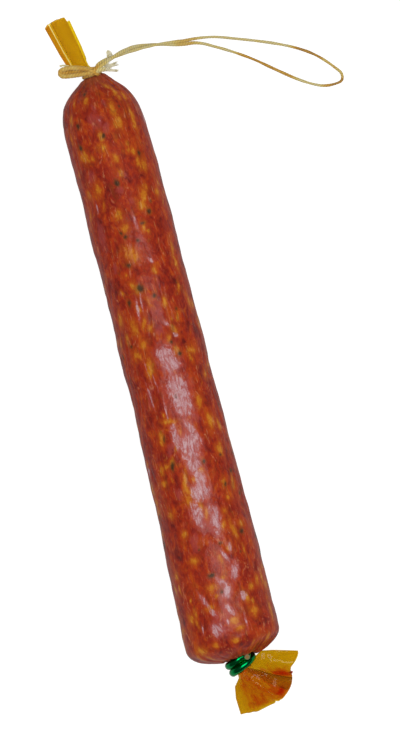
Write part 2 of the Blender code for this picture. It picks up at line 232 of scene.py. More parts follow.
def tube_skin(grid: Array, poles: Array, girth: float) -> Skin:
    """Skins one or many closed tubes, each with a pole point past either end.

    Args:
        grid: Points of each tube, (tubes, rows, sides, 3); each row is a closed ring.
        poles: The two pole points of each tube, (tubes, 2, 3).
        girth: Length round the tube that the flat coordinates give it, in metres.

    Returns:
        The skin, its flat coordinates in metres round and along the tube.
    """
    tubes, rows, sides, _ = grid.shape
    index = np.arange(tubes * rows * sides).reshape(tubes, rows, sides)
    right = np.roll(index, -1, axis=2)
    quads = np.stack([index[:, :-1], right[:, :-1], right[:, 1:], index[:, 1:]], axis=-1).reshape(-1, 4)
    first = tubes * rows * sides + 2 * np.arange(tubes)[:, None]
    heads = np.stack([right[:, 0], index[:, 0], np.broadcast_to(first, (tubes, sides))], axis=-1)
    tails = np.stack([index[:, -1], right[:, -1], np.broadcast_to(first + 1, (tubes, sides))], axis=-1)
    centres = grid.mean(axis=2)
    steps = np.linalg.norm(np.diff(centres, axis=1), axis=2)
    run = np.concatenate([np.zeros((tubes, 1)), np.cumsum(steps, axis=1)], axis=1)
    u = np.arange(sides + 1) / sides * girth
    left_u, right_u = (np.broadcast_to(part, (tubes, rows, sides)) for part in (u[:-1], u[1:]))
    v = np.broadcast_to(run[:, :, None], (tubes, rows, sides))
    corner = lambda a, b: np.stack([a, b], axis=-1)
    quad_uv = np.stack(
        [
            corner(left_u[:, :-1], v[:, :-1]), corner(right_u[:, :-1], v[:, :-1]),
            corner(right_u[:, 1:], v[:, 1:]), corner(left_u[:, 1:], v[:, 1:]),
        ],
        axis=3,
    ).reshape(-1, 4, 2)
    head_uv = np.stack([corner(right_u[:, 0], v[:, 0]), corner(left_u[:, 0], v[:, 0])] + [
        corner(left_u[:, 0], v[:, 0] - 0.5 * MM)], axis=2)
    tail_uv = np.stack([corner(left_u[:, -1], v[:, -1]), corner(right_u[:, -1], v[:, -1])] + [
        corner(left_u[:, -1], v[:, -1] + 0.5 * MM)], axis=2)
    points = np.concatenate([grid.reshape(-1, 3), poles.reshape(-1, 3)])
    return Skin(
        points, quads, quad_uv,
        np.concatenate([heads.reshape(-1, 3), tails.reshape(-1, 3)]),
        np.concatenate([head_uv.reshape(-1, 3, 2), tail_uv.reshape(-1, 3, 2)]),
    )


def film_skin(middle: Array, thickness: float) -> Skin:
    """A thin closed wall on both sides of a tube of film, joined along its two cut ends.

    With n the unit normal, the wall's faces are at middle + n t / 2 and middle - n t / 2.

    Args:
        middle: Points halfway through the film, (rows, sides, 3); each row closes on itself.
        thickness: The film's thickness t, in metres.

    Returns:
        The skin, its flat coordinates in metres round and along the film.
    """
    rows, sides, _ = middle.shape
    around = np.roll(middle, -1, axis=1) - np.roll(middle, 1, axis=1)
    normal = unit(np.cross(around, np.gradient(middle, axis=0)))
    walls = np.stack([middle + normal * thickness / 2, middle - normal * thickness / 2])
    index = np.arange(2 * rows * sides).reshape(2, rows, sides)
    right = np.roll(index, -1, axis=2)
    outer = np.stack([index[0, :-1], right[0, :-1], right[0, 1:], index[0, 1:]], axis=-1)
    inner = np.stack([index[1, :-1], index[1, 1:], right[1, 1:], right[1, :-1]], axis=-1)
    start = np.stack([index[0, 0], index[1, 0], right[1, 0], right[0, 0]], axis=-1)
    end = np.stack([index[0, -1], right[0, -1], right[1, -1], index[1, -1]], axis=-1)
    run = lengths_along(middle.mean(axis=1))
    girth = np.linalg.norm(around, axis=2).mean(axis=0).sum() / 2
    u, v = np.meshgrid(np.arange(sides + 1) / sides * girth, run)
    flat = np.stack([u, v], axis=-1)
    a, b, c, d = flat[:-1, :-1], flat[:-1, 1:], flat[1:, 1:], flat[1:, :-1]
    outer_uv, inner_uv = np.stack([a, b, c, d], axis=2), np.stack([a, d, c, b], axis=2)
    start_uv = np.stack([a[0], a[0], b[0], b[0]], axis=1)
    end_uv = np.stack([d[-1], c[-1], c[-1], d[-1]], axis=1)
    quads = np.concatenate([part.reshape(-1, 4) for part in (outer, inner, start, end)])
    quad_uv = np.concatenate([part.reshape(-1, 4, 2) for part in (outer_uv, inner_uv, start_uv, end_uv)])
    return Skin(walls.reshape(-1, 3), quads, quad_uv, np.empty((0, 3), int), np.empty((0, 3, 2)))


def sweep(path: Array, radius: Array, reference: Array = UP) -> Array:
    """Carries a round section along a path.

    With f the path's direction, the section's axes are s = f x reference and t = s x f, and its
    points are path + radius * (s cos a + t sin a).

    Args:
        path: Points of the path, (rows, 3), or many paths, (tubes, rows, 3).
        radius: Radius at each point of each section, ending in (rows, sides).
        reference: The direction that the section is turned to.

    Returns:
        The grid of points, as path with a sides axis before its last.
    """
    forward = unit(np.gradient(path, axis=-2))
    side = unit(np.cross(forward, reference))
    rise = np.cross(side, forward)
    angle = TURN * np.arange(radius.shape[-1]) / radius.shape[-1]
    ring = side[..., None, :] * np.cos(angle)[:, None] + rise[..., None, :] * np.sin(angle)[:, None]
    return path[..., None, :] + radius[..., None] * ring


def helix(centre: Array, axis: Array, across: Array, radius: float, pitch: float, angles: Array) -> Array:
    """Points along a helix: centre + radius (across cos a + up sin a) + axis * pitch * (a - middle) / turn."""
    advance = pitch * (angles - angles.mean()) / TURN
    around = across * np.cos(angles)[:, None] + UP * np.sin(angles)[:, None]
    return centre + radius * around + axis * advance[:, None]


def give_values(mesh: bpy.types.Mesh, name: str, values: Array) -> None:
    """Stores one number a point on a mesh, for its material to read."""
    attribute = mesh.attributes.new(name, "FLOAT", "POINT")
    attribute.data.foreach_set("value", values.astype(np.float32).ravel())


def add_piece(
    name: str, mesh: bpy.types.Mesh, material: bpy.types.Material, nodes: tuple[str, ...] = ()
) -> bpy.types.Object:
    """Puts a mesh into the scene as a finished piece on the sausage.

    Args:
        name: The piece's name.
        mesh: Its mesh, already in its place.
        material: Its finish.
        nodes: The CAD nodes that it stands for.

    Returns:
        The new object.
    """
    piece = bpy.data.objects.new(name, mesh)
    bpy.context.scene.collection.objects.link(piece)
    mesh.materials.append(material)
    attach(piece, "root")
    if nodes:
        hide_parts(*nodes)
    log.info("%s: %d points, %d faces", name, len(mesh.vertices), len(mesh.polygons))
    return piece


# ---------------------------------------------------------------- finishes


def add_node(
    tree: bpy.types.NodeTree, kind: str, inputs: dict[Any, Any] | list[Any] | None = None,
    output: int | str = 0, **settings: Any,
) -> bpy.types.NodeSocket:
    """Adds a node with its settings and its links.

    Args:
        tree: The node tree.
        kind: The node's type, without its ShaderNode prefix.
        inputs: Values for its input sockets, by name or number or as a list; a socket is linked.
        output: Which output is wanted, by name or number.
        settings: Properties to set; stops gives a colour ramp its (place, hex colour) pairs.

    Returns:
        The wanted output of the new node.
    """
    node = tree.nodes.new("ShaderNode" + kind)
    for name, value in settings.items():
        if name == "stops":
            elements = node.color_ramp.elements
            while len(elements) < len(value):
                elements.new(0.5)
            for element, (place, code) in zip(elements, value):
                element.position, element.color = place, linear(code)
        else:
            setattr(node, name, value)
    given = dict(enumerate(inputs)) if isinstance(inputs, list) else inputs or {}
    for socket, value in given.items():
        if isinstance(value, bpy.types.NodeSocket):
            tree.links.new(value, node.inputs[socket])
        else:
            node.inputs[socket].default_value = value
    return node.outputs[output]


def new_material(name: str) -> tuple[bpy.types.Material, bpy.types.NodeTree, bpy.types.Node]:
    """A material with its node tree and its Principled node."""
    material = bpy.data.materials.new(name)
    material.use_nodes = True
    return material, material.node_tree, material.node_tree.nodes["Principled BSDF"]


@dataclass(frozen=True)
class CuredMeatFinish:
    """Coarse-ground paprika pork, dried hard under a tight, oiled collagen film.

    Lean meat shows as soft crimson and brick patches a few millimetres across, drawn out along the
    stuffing. Back fat, stained by paprika oil, shows as amber flecks with orange halos, and cracked
    pepper as dark olive specks. Where the film has come away, the strip light's sheen on it is painted
    into the colour as lavender patches with pinkish fringes, and some rose patches paint a fainter
    sheen. Shade is painted into the film's creases, and shade and a highlight along its wrinkles.
    Oil on the film gives it a thin, fairly sharp gloss.
    """

    name: str = "cured_meat_in_collagen_film"
    chunk: float = 6.5 * MM
    lean_size: float = 3.4 * MM
    streak: float = 2.0 * MM
    fibre: float = 0.8 * MM
    crumb: float = 2.4 * MM
    wrinkle: float = 4.6 * MM
    pucker: float = 2.2 * MM
    crackle: float = 0.9 * MM
    fold: float = 2.6 * MM
    relief: float = 0.3 * MM

    def material(self) -> bpy.types.Material:
        """Builds the node material.

        Returns:
            The material; it reads the attributes fat, pepper, lifted (painted sheen), blush (rose meat
            and a faint painted sheen), crease (painted shade) and gathered.
        """
        material, tree, surface = new_material(self.name)
        noises = self.noises(tree)
        masks = self.masks(tree, noises["crumb"])
        base = self.lean(tree, noises)
        lit, shaded = self.wrinkles(tree, noises)
        rich = add_node(tree, "Math", [masks["fat"], 0.35], operation="MULTIPLY")
        rich = add_node(tree, "Math", [noises["chunk"], 0.85, rich], operation="MULTIPLY_ADD")
        fat = add_node(tree, "ValToRGB", [rich], stops=(
            (0.45, "#A4480E"), (0.62, "#B66010"), (0.78, "#C67A16"), (0.95, "#D49634")))
        pale, dark = (
            add_node(tree, "MapRange", [noises["streak"], low, high], interpolation_type="SMOOTHSTEP")
            for low, high in ((0.55, 0.72), (0.44, 0.28)))
        gathered = add_node(tree, "Attribute", output="Fac", attribute_name="gathered")
        painted_sheen, clear = self.painted_sheen(tree, noises, masks)
        for mask, strength, colour in (
            # The #B4564C entry paints the pinkish fringe of the strip light's sheen round film that has come away.
            (pale, 0.26, linear("#BE6444")), (dark, 0.45, linear("#5E140E")), (masks["sheen_fringe"], 0.5, linear("#B4564C")),
            # The #A2423E entry paints rose patches of lean meat, some of them a faint painted sheen.
            (masks["blush"], 0.55, linear("#A2423E")), (masks["halo"], 0.6, linear("#B24A0A")),
            (masks["fat"], 0.76, fat), (masks["stain"], 0.5, linear("#6A4418")),
            # The #5E1A12 entry paints shade into the film's creases.
            (masks["pepper"], 0.85, linear("#332A1A")), (masks["crease"], 0.35, linear("#5E1A12")),
            # The #641A0E and #C88260 entries paint shade and a highlight along the wrinkles.
            (shaded, 0.5, linear("#641A0E")), (lit, 0.4, linear("#C88260")), (gathered, 0.6, linear("#AC5836")),
            # This entry paints the strip light's lavender sheen where the film has come away.
            (masks["lifted"], clear, painted_sheen),
        ):
            amount = add_node(tree, "Math", [mask, strength], operation="MULTIPLY")
            base = add_node(tree, "Mix", {0: amount, 6: base, 7: colour}, 2, data_type="RGBA")
        tree.links.new(base, surface.inputs["Base Color"])

        height = add_node(tree, "Math", [noises["crackle"], 0.12, noises["pucker"]], operation="MULTIPLY_ADD")
        height = add_node(tree, "Math", [lit, 0.25, height], operation="MULTIPLY_ADD")
        bump = add_node(tree, "Bump", {"Strength": 0.6, "Distance": self.relief, "Height": height})
        tree.links.new(bump, surface.inputs["Normal"])
        tree.links.new(bump, surface.inputs["Coat Normal"])
        surface.inputs["Roughness"].default_value = 0.5
        surface.inputs["Specular IOR Level"].default_value = 0.1
        surface.inputs["Subsurface Weight"].default_value = 0.1
        surface.inputs["Subsurface Radius"].default_value = (1.0, 0.25, 0.1)
        surface.inputs["Subsurface Scale"].default_value = 0.8 * MM
        surface.inputs["Coat Weight"].default_value = 0.5
        surface.inputs["Coat Roughness"].default_value = 0.14
        surface.inputs["Coat IOR"].default_value = 1.3
        return material

    def noises(self, tree: bpy.types.NodeTree) -> dict[str, bpy.types.NodeSocket]:
        """The noise fields of the meat and the film, in space or laid on the skin and drawn out lengthwise.

        Args:
            tree: The node tree.

        Returns:
            A socket for each field, by the name of what it shapes.
        """
        place = add_node(tree, "TexCoord", output="Object")
        flat = add_node(tree, "TexCoord", output="UV")
        drawn, strands, wavy, folded = (
            add_node(tree, "Mapping", {"Vector": source, "Scale": (1.0, along, 1.0)})
            for source, along in ((place, 0.6), (flat, 0.4), (flat, 0.14), (flat, 0.3)))
        return {
            name: add_node(tree, "TexNoise", {
                "Vector": vector, "Scale": 1 / size, "Detail": detail, "Roughness": rough, "Distortion": bend})
            for name, vector, size, detail, rough, bend in (
                ("cloud", drawn, self.chunk, 5.0, 0.62, 0.7), ("chunk", drawn, self.lean_size, 4.0, 0.6, 1.0),
                ("streak", strands, self.streak, 3.0, 0.6, 1.0), ("fibre", strands, self.fibre, 3.0, 0.65, 0.8),
                ("crumb", drawn, self.crumb, 5.0, 0.72, 0.5), ("ridge", wavy, self.wrinkle, 2.0, 0.5, 0.5),
                ("pucker", folded, self.pucker, 4.0, 0.55, 0.8), ("crackle", place, self.crackle, 5.0, 0.85, 0.4),
                ("fold", folded, self.fold, 4.0, 0.6, 1.6),
            )
        }

    def lean(self, tree: bpy.types.NodeTree, noises: dict[str, bpy.types.NodeSocket]) -> bpy.types.NodeSocket:
        """The lean meat: half slow clouds, half smaller chunks, toned by fine fibres."""
        slow = add_node(tree, "ValToRGB", [noises["cloud"]], stops=(
            (0.33, "#5A1A12"), (0.43, "#842010"), (0.5, "#9E2E0C"), (0.57, "#AE3A0A"), (0.66, "#B85208")))
        quick = add_node(tree, "ValToRGB", [noises["chunk"]], stops=(
            (0.33, "#661610"), (0.44, "#8E1C10"), (0.53, "#A42C0E"), (0.6, "#B2420C"), (0.68, "#BC5A0C")))
        mixed = add_node(tree, "Mix", {0: 0.5, 6: slow, 7: quick}, 2, data_type="RGBA")
        tone = add_node(tree, "Math", [noises["fibre"], 0.5, 0.75], operation="MULTIPLY_ADD")
        return add_node(tree, "VectorMath", {0: mixed, "Scale": tone}, operation="SCALE")

    def wrinkles(
        self, tree: bpy.types.NodeTree, noises: dict[str, bpy.types.NodeSocket]
    ) -> list[bpy.types.NodeSocket]:
        """Thin lengthwise wrinkles in the film where the ridge noise passes a level, and only in places.

        Args:
            tree: The node tree.
            noises: The noise fields.

        Returns:
            Masks of the wrinkles' lit sides, where a highlight is painted, and of their shaded sides, where
            shade is painted.
        """
        broken = add_node(tree, "MapRange", [noises["chunk"], 0.48, 0.62], interpolation_type="SMOOTHSTEP")
        sides = []
        for level, width in ((0.5, 0.02), (0.54, 0.035)):
            away = add_node(tree, "Math", [noises["ridge"], level], operation="SUBTRACT")
            away = add_node(tree, "Math", [away], operation="ABSOLUTE")
            line = add_node(tree, "MapRange", [away, width, 0.0], interpolation_type="SMOOTHSTEP")
            sides.append(add_node(tree, "Math", [broken, line], operation="MULTIPLY"))
        return sides

    def masks(self, tree: bpy.types.NodeTree, crumb: bpy.types.NodeSocket) -> dict[str, bpy.types.NodeSocket]:
        """Where each thing shows, its edges torn by noise.

        Args:
            tree: The node tree.
            crumb: The noise that tears the edges.

        Returns:
            A socket from 0 to 1 for each thing.
        """
        ragged = add_node(tree, "Math", [crumb, 2.5, -1.25], operation="MULTIPLY_ADD")
        found = {}
        for name, source, share, low, high in (
            ("fat", "fat", 1.0, -0.2, 0.75), ("halo", "fat", 1.0, -0.9, 0.4), ("pepper", "pepper", 0.9, -0.1, 0.8),
            ("stain", "pepper", 1.1, -0.9, 0.6), ("lifted", "lifted", 0.9, -0.1, 0.4),
            ("sheen_fringe", "lifted", 1.0, -0.8, 0.2), ("crease", "crease", 0.3, 0.45, 1.0), ("blush", "blush", 1.0, -0.3, 0.6),
        ):
            field = add_node(tree, "Attribute", output="Fac", attribute_name=source)
            torn = add_node(tree, "Math", [ragged, share, field], operation="MULTIPLY_ADD")
            found[name] = add_node(tree, "MapRange", [torn, low, high], interpolation_type="SMOOTHSTEP")
        return found

    def painted_sheen(
        self, tree: bpy.types.NodeTree, noises: dict[str, bpy.types.NodeSocket], masks: dict[str, bpy.types.NodeSocket]
    ) -> tuple[bpy.types.NodeSocket, bpy.types.NodeSocket]:
        """The strip light's sheen on film that has come away, painted in crackled lavender, thin between
        its folds and over pepper.

        Args:
            tree: The node tree.
            noises: The noise fields.
            masks: Where each thing shows.

        Returns:
            The painted sheen's colour and its strength.
        """
        crackle = add_node(tree, "Math", [noises["crackle"], 0.5], operation="MULTIPLY")
        mixed = add_node(tree, "Math", [noises["fold"], 0.5, crackle], operation="MULTIPLY_ADD")
        colour = add_node(tree, "ValToRGB", [mixed], stops=(
            (0.36, "#9C403C"), (0.45, "#AC6A6A"), (0.53, "#BC9094"), (0.64, "#D0B0B2")))
        strength = add_node(
            tree, "MapRange", [noises["fold"], 0.36, 0.58, 0.3, 0.88], interpolation_type="SMOOTHSTEP")
        clear = add_node(tree, "Math", [masks["pepper"], -0.8, 1.0], operation="MULTIPLY_ADD")
        return colour, add_node(tree, "Math", [strength, clear], operation="MULTIPLY")


@dataclass(frozen=True)
class CasingFilmFinish:
    """Extruded collagen film, dried and stained amber by smoke, about a tenth of a millimetre thick.

    Light passes through each wall and takes its tint, so one fold looks yellow and many look
    orange. Fine lines run along it from the extrusion, and its surface is glossy.
    """

    name: str
    pale: str = "#FAEEC8"
    yellow: str = "#EDD844"
    deep: str = "#DFBC40"
    greasy: str = "#C8702A"
    bloody: str = "#C43C14"
    line: float = 0.9 * MM
    relief: float = 0.05 * MM

    def material(self) -> bpy.types.Material:
        """Builds the node material.

        Returns:
            The material; it reads the attribute tint: 0 pale, 1 yellow, 2 deep, 3 greasy, 4 bloody.
        """
        material, tree, surface = new_material(self.name)
        flat = add_node(tree, "TexCoord", output="UV")
        drawn = add_node(tree, "Mapping", {"Vector": flat, "Scale": (1.0, 0.06, 1.0)})
        lines = add_node(tree, "TexNoise", {
            "Vector": drawn, "Scale": 1 / self.line, "Detail": 1.0, "Roughness": 0.5})
        uneven = add_node(tree, "Math", [lines, 1.2, -0.6], operation="MULTIPLY_ADD")
        tint = add_node(tree, "Attribute", output="Fac", attribute_name="tint")
        tint = add_node(tree, "Math", [tint, uneven], operation="ADD")
        amount = add_node(tree, "Math", [tint, 4.0], operation="DIVIDE")
        colour = add_node(tree, "ValToRGB", [amount], stops=(
            (0.0, self.pale), (0.25, self.yellow), (0.5, self.deep), (0.75, self.greasy), (1.0, self.bloody)))
        tree.links.new(colour, surface.inputs["Base Color"])
        bump = add_node(tree, "Bump", {"Strength": 0.4, "Distance": self.relief, "Height": lines})
        tree.links.new(bump, surface.inputs["Normal"])
        surface.inputs["Transmission Weight"].default_value = 0.95
        surface.inputs["Roughness"].default_value = 0.06
        surface.inputs["IOR"].default_value = 1.22
        return material


@dataclass(frozen=True)
class ResidueFinish:
    """Smears of meat left inside the empty casing, bright with paprika fat or dry and deep red."""

    name: str = "paprika_fat_and_meat_smears"
    mottle: float = 2.2 * MM

    def material(self) -> bpy.types.Material:
        """Builds the node material; it reads the attribute lean, 0 for greasy to 1 for dry."""
        material, tree, surface = new_material(self.name)
        mottle = add_node(tree, "TexNoise", {
            "Vector": add_node(tree, "TexCoord", output="Object"), "Scale": 1 / self.mottle, "Detail": 5.0,
            "Roughness": 0.7, "Distortion": 0.6})
        greasy = add_node(tree, "ValToRGB", [mottle], stops=((0.38, "#E2441A"), (0.6, "#F88038")))
        dry = add_node(tree, "ValToRGB", [mottle], stops=((0.38, "#9C2018"), (0.6, "#BC3820")))
        lean = add_node(tree, "Attribute", output="Fac", attribute_name="lean")
        colour = add_node(tree, "Mix", {0: lean, 6: greasy, 7: dry}, 2, data_type="RGBA")
        tree.links.new(colour, surface.inputs["Base Color"])
        surface.inputs["Roughness"].default_value = 0.45
        surface.inputs["Specular IOR Level"].default_value = 0.3
        return material


@dataclass(frozen=True)
class AnodisedWireFinish:
    """Soft aluminium wire, drawn, dyed green and anodised, and sheared off bare at its ends.

    The dye sits in a clear hard layer over bright metal, so it mirrors in deep green. At the sheared
    ends the metal is bare and the finish is not metallic, and a gold reflection is painted in their
    middles.
    """

    name: str = "anodised_aluminium_wire"
    dye: str = "#00A052"
    burr: str = "#787450"
    cut_gold_reflection: str = "#8A6422"
    scratch: float = 0.3 * MM

    def material(self) -> bpy.types.Material:
        """Builds the node material; it reads the attribute bare, 0 on dye to 1 in a sheared end painted with a gold
        reflection.
        """
        material, tree, surface = new_material(self.name)
        flat = add_node(tree, "TexCoord", output="UV")
        drawn = add_node(tree, "Mapping", {"Vector": flat, "Scale": (1.0, 0.05, 1.0)})
        scratches = add_node(tree, "TexNoise", {
            "Vector": drawn, "Scale": 1 / self.scratch, "Detail": 2.0, "Roughness": 0.5})
        bare = add_node(tree, "Attribute", output="Fac", attribute_name="bare")
        # The last stop paints a gold reflection in the middle of each sheared end.
        colour = add_node(tree, "ValToRGB", [bare], stops=(
            (0.2, self.dye), (0.5, self.burr), (0.7, self.burr), (1.0, self.cut_gold_reflection)))
        tree.links.new(colour, surface.inputs["Base Color"])
        drawn_rough = add_node(tree, "Math", [scratches, 0.3, 0.08], operation="MULTIPLY_ADD")
        rough = add_node(tree, "Math", [bare, 0.3, drawn_rough], operation="MULTIPLY_ADD")
        tree.links.new(rough, surface.inputs["Roughness"])
        metal = add_node(tree, "MapRange", [bare, 0.5, 0.2], interpolation_type="SMOOTHSTEP")
        tree.links.new(metal, surface.inputs["Metallic"])
        return material


@dataclass(frozen=True)
class TwineFinish:
    """Three-ply jute and cotton butcher's twine, spun and greased, straw with grey and brown lengths.

    Its lying fibres make it matt with a faint sheen. The stain attribute runs from -1 for bleached
    fibre through 0 for clean straw to 1 for brown. Shade is painted in, darker down in the grooves
    between the plies.
    """

    name: str
    straw: str = "#DAC270"
    groove_shade: float = 0.5
    fibre: float = 0.16 * MM
    blot: float = 3.0 * MM
    relief: float = 0.12 * MM

    def material(self) -> bpy.types.Material:
        """Builds the node material; it reads the attributes stain and ply, and paints shade by ply."""
        material, tree, surface = new_material(self.name)
        leaning = add_node(tree, "Mapping", {
            "Vector": add_node(tree, "TexCoord", output="UV"), "Rotation": (0.0, 0.0, 0.55), "Scale": (1.0, 0.12, 1.0)})
        fibres = add_node(tree, "TexNoise", {
            "Vector": leaning, "Scale": 1 / self.fibre, "Detail": 2.0, "Roughness": 0.6})
        blots = add_node(tree, "TexNoise", {
            "Vector": add_node(tree, "TexCoord", output="Object"), "Scale": 1 / self.blot, "Detail": 3.0})
        stain = add_node(tree, "Attribute", output="Fac", attribute_name="stain")
        ply = add_node(tree, "Attribute", output="Fac", attribute_name="ply")
        uneven = add_node(tree, "MapRange", [blots, 0.0, 1.0, -0.5, 0.5])
        shifted = add_node(tree, "Math", [stain, uneven], operation="ADD")
        spread = add_node(tree, "MapRange", [shifted, -1.0, 1.5])
        colour = add_node(tree, "ValToRGB", [spread], stops=(
            (0.0, "#EAE4D4"), (0.2, "#D4CA9A"), (0.4, self.straw), (0.6, "#CC9834"), (0.85, "#967040"),
            (1.0, "#7C5632")))
        shade = add_node(tree, "MapRange", [fibres, 0.3, 0.7, 0.75, 1.2])
        # Painted shade, darker down in the grooves between the plies.
        depth = add_node(tree, "MapRange", [ply, 0.0, 1.0, self.groove_shade, 1.1])
        tone = add_node(tree, "Math", [shade, depth], operation="MULTIPLY")
        toned = add_node(tree, "VectorMath", {0: colour, "Scale": tone}, operation="SCALE")
        tree.links.new(toned, surface.inputs["Base Color"])
        bump = add_node(tree, "Bump", {"Strength": 0.8, "Distance": self.relief, "Height": fibres})
        tree.links.new(bump, surface.inputs["Normal"])
        surface.inputs["Roughness"].default_value = 0.72
        surface.inputs["Specular IOR Level"].default_value = 0.3
        surface.inputs["Sheen Weight"].default_value = 0.25
        surface.inputs["Sheen Roughness"].default_value = 0.4
        return material


# ---------------------------------------------------------------- the filled casing


@dataclass
class CasedMeat:
    """The casing filled with meat, its relief, and what shows through the film.

    Sizes are in metres. Spots are (across, y, width, length, lean) in millimetres and degrees, seen
    from above; across is measured from the axis, and lean turns the length from +Y towards +X.
    Strays are how far hand stuffing strays from the plain shape, (y, sideways, outwards) in
    millimetres.
    """

    tied_end: float = 150.6 * MM
    clipped_end: float = -156.0 * MM
    tied_radius: float = 21.2 * MM
    clipped_radius: float = 24.6 * MM
    swell_start: float = 21.0 * MM
    swell_power: float = 1.15
    tied_shoulder: float = 32.0 * MM
    tied_roundness: float = 2.5
    clipped_shoulder: float = 11.5 * MM
    clipped_roundness: float = 2.1
    dimple_radius: float = 11.0 * MM
    dimple_depth: float = 4.8 * MM
    tied_neck: float = 3.1 * MM
    clipped_neck: float = 3.7 * MM
    tied_neck_length: float = 3.0 * MM
    clipped_neck_length: float = 4.0 * MM
    clipped_bend: float = -152.4 * MM
    axis_x: float = -2.2 * MM
    bow: float = 0.9 * MM
    shoulder_bulge: float = 1.5 * MM
    clipped_skew: float = 0.05
    clipped_tilt: float = 0.16
    clip_lean: float = math.radians(18)
    flat_depth: float = 0.6 * MM
    rows: int = 450
    sides: int = 214
    seed: int = 11

    strays = (
        (-157, 0, 0), (-146, -0.3, 0.3), (-138, -0.2, 0.7), (-130, -0.25, 0.35), (-120, -0.15, 0.65),
        (-100, 0.2, 0.3), (-80, 0.45, 0), (-60, -0.1, 0), (-40, 0.3, -0.1), (-20, 0.35, 0.15), (0, 0, 0.35),
        (20, 0.2, 0.1), (40, 0.1, 0.5), (60, 0.1, 0.2), (80, 0.3, 0), (100, 0.25, 0), (120, -0.3, -0.6),
        (130, -0.45, -0.65), (138, -0.75, -0.7), (142, -0.5, -1), (146, -0.2, -1.7), (148, 0, -1.5), (150, 0, 0),
    )

    fat = (
        (7.2, 130.5, 3, 9, 0), (7.6, 123.5, 4.6, 8, 0), (15.6, 124, 2.6, 11, 0), (7.6, 142.3, 2, 8, -48),
        (-15.8, 130.3, 2.6, 4.6, 0), (-18.2, 121.9, 2, 6, 0), (-14.4, 110.2, 4.6, 5.5, 0),
        (-3.2, 113, 3.6, 4.2, 0), (1, 105.6, 3, 4, 0), (8.5, 108.5, 1.8, 2.8, 0), (13.9, 99.8, 3.4, 5.6, 0),
        (-11.9, 92.5, 3.6, 6, 8), (-17.1, 91.5, 2.2, 4, 0), (10.4, 85.5, 3.8, 6.6, 20),
        (16.9, 84.5, 3, 4, 0), (7.8, 79.6, 6, 3.4, 65), (-5.1, 77.5, 4, 4.4, 0), (-3.1, 70.5, 3.6, 5, 15),
        (-3.1, 57, 5.6, 8, -15), (17.1, 47.3, 3, 4, 0), (-11.1, 20.8, 3.6, 7, -10), (-3.4, 19, 3, 4.5, 0),
        (-8.3, 11.6, 4, 4.6, 0), (-13.4, 7.3, 3.4, 4.2, 0), (-7.5, 1.3, 3, 7, 0), (6.8, 4.8, 3, 4, 0),
        (14.3, 3.2, 5, 4, 0), (18.3, -10.2, 3, 4, 0), (11.3, -22.8, 3.6, 5.4, 10), (14.9, -33.9, 4.2, 7.4, 5),
        (-5.1, -29.2, 7, 2.4, 14), (16, -48.5, 3.8, 4.6, 0), (-11.2, -36.7, 2.6, 6, 12), (-4.6, -60, 2, 12, 14),
        (-5.4, -69.5, 4, 5, 0), (4.5, -56.4, 2.6, 2.6, 0), (0.2, -60.1, 3, 2.6, 0), (18.5, -66.3, 2.8, 6, 8),
        (-15.2, -59, 4, 3, 0), (-12, -51, 3, 3, 0), (17.4, -87.6, 3.4, 3.4, 0), (-15.8, -75, 4, 4, 20),
        (-3.6, -114.9, 4.8, 3.8, 0), (-2.6, -119.5, 1.8, 2.8, 0), (15.4, -119.3, 3, 3.2, 0), (2.5, -111, 2, 2, 0),
        (14, -131.5, 5, 5, 0), (22, -133.5, 3, 11, 4), (3.8, -134, 3.8, 4.6, 0), (5, -139, 4, 3.4, 0),
        (-17.4, -128.2, 3.4, 4.6, 0), (-16.3, -146.7, 6, 4.6, 0), (-8.7, -145.6, 3, 3, 0), (-19.8, -105.7, 3, 4, 0),
        (-9.5, -100, 4, 3.4, 0), (8.5, -97.5, 3, 3, 0), (-6.9, -124.5, 4, 3, 0), (1.5, -146, 3, 3, 0),
        (-11.5, -86, 3, 3, 0), (11, -79, 2.4, 2.8, 0), (14.5, -73.5, 2.6, 3, 0),
    )
    pepper = (
        (-5.7, 141.6, 2.4, 2.6, 0), (-13, 126.3, 1.8, 2.4, 0), (-14.7, 115.3, 2.2, 2.6, 0), (-1.4, 118.3, 1.6, 2.2, 20),
        (13.3, 105.7, 1.8, 3, 0), (10.4, 131, 1, 1.2, 0), (-1.3, 93.4, 2.2, 3, 0), (12.7, 81.1, 1.6, 1.6, 0),
        (10.7, 76, 2.4, 2.2, 0), (6, 70.8, 2, 1.5, 0), (-3.9, 66.3, 1.8, 2, 0), (1.8, 63, 2, 1.6, 0),
        (-3.3, 39.3, 3.6, 3.4, 0), (-5.6, 52, 2.6, 2, 0), (-10.2, 33.4, 1.6, 3, 10), (2.9, 34.1, 1.8, 2.2, 0),
        (11.9, 25.2, 1.4, 1.4, 0), (15, 38, 0.9, 0.9, 0), (-14.5, 12, 1.6, 1.6, 0), (8.3, 2.7, 1.9, 1.9, 0),
        (0.9, -17.8, 1.2, 3, 0), (5.6, 9.5, 1.4, 1.4, 0), (-9.1, -51.5, 1.9, 4.6, 18), (7, -52.6, 1.8, 2, 0),
        (-10, -37, 1, 3, 12), (19.2, -60.5, 2, 2, 0), (15.8, -51.5, 1.6, 1.4, 0), (14.6, -66.5, 1.8, 2.6, 0),
        (20.7, -73.1, 1.8, 2, 0), (16.6, -91.5, 2.4, 3, 0), (5, -94.1, 1.7, 1.6, 0), (-2.7, -108.8, 2.6, 2, 0),
        (0.6, -118, 1.7, 1.9, 0), (-6, -95, 0.8, 0.8, 0), (14, -101, 1, 1, 0),
    )
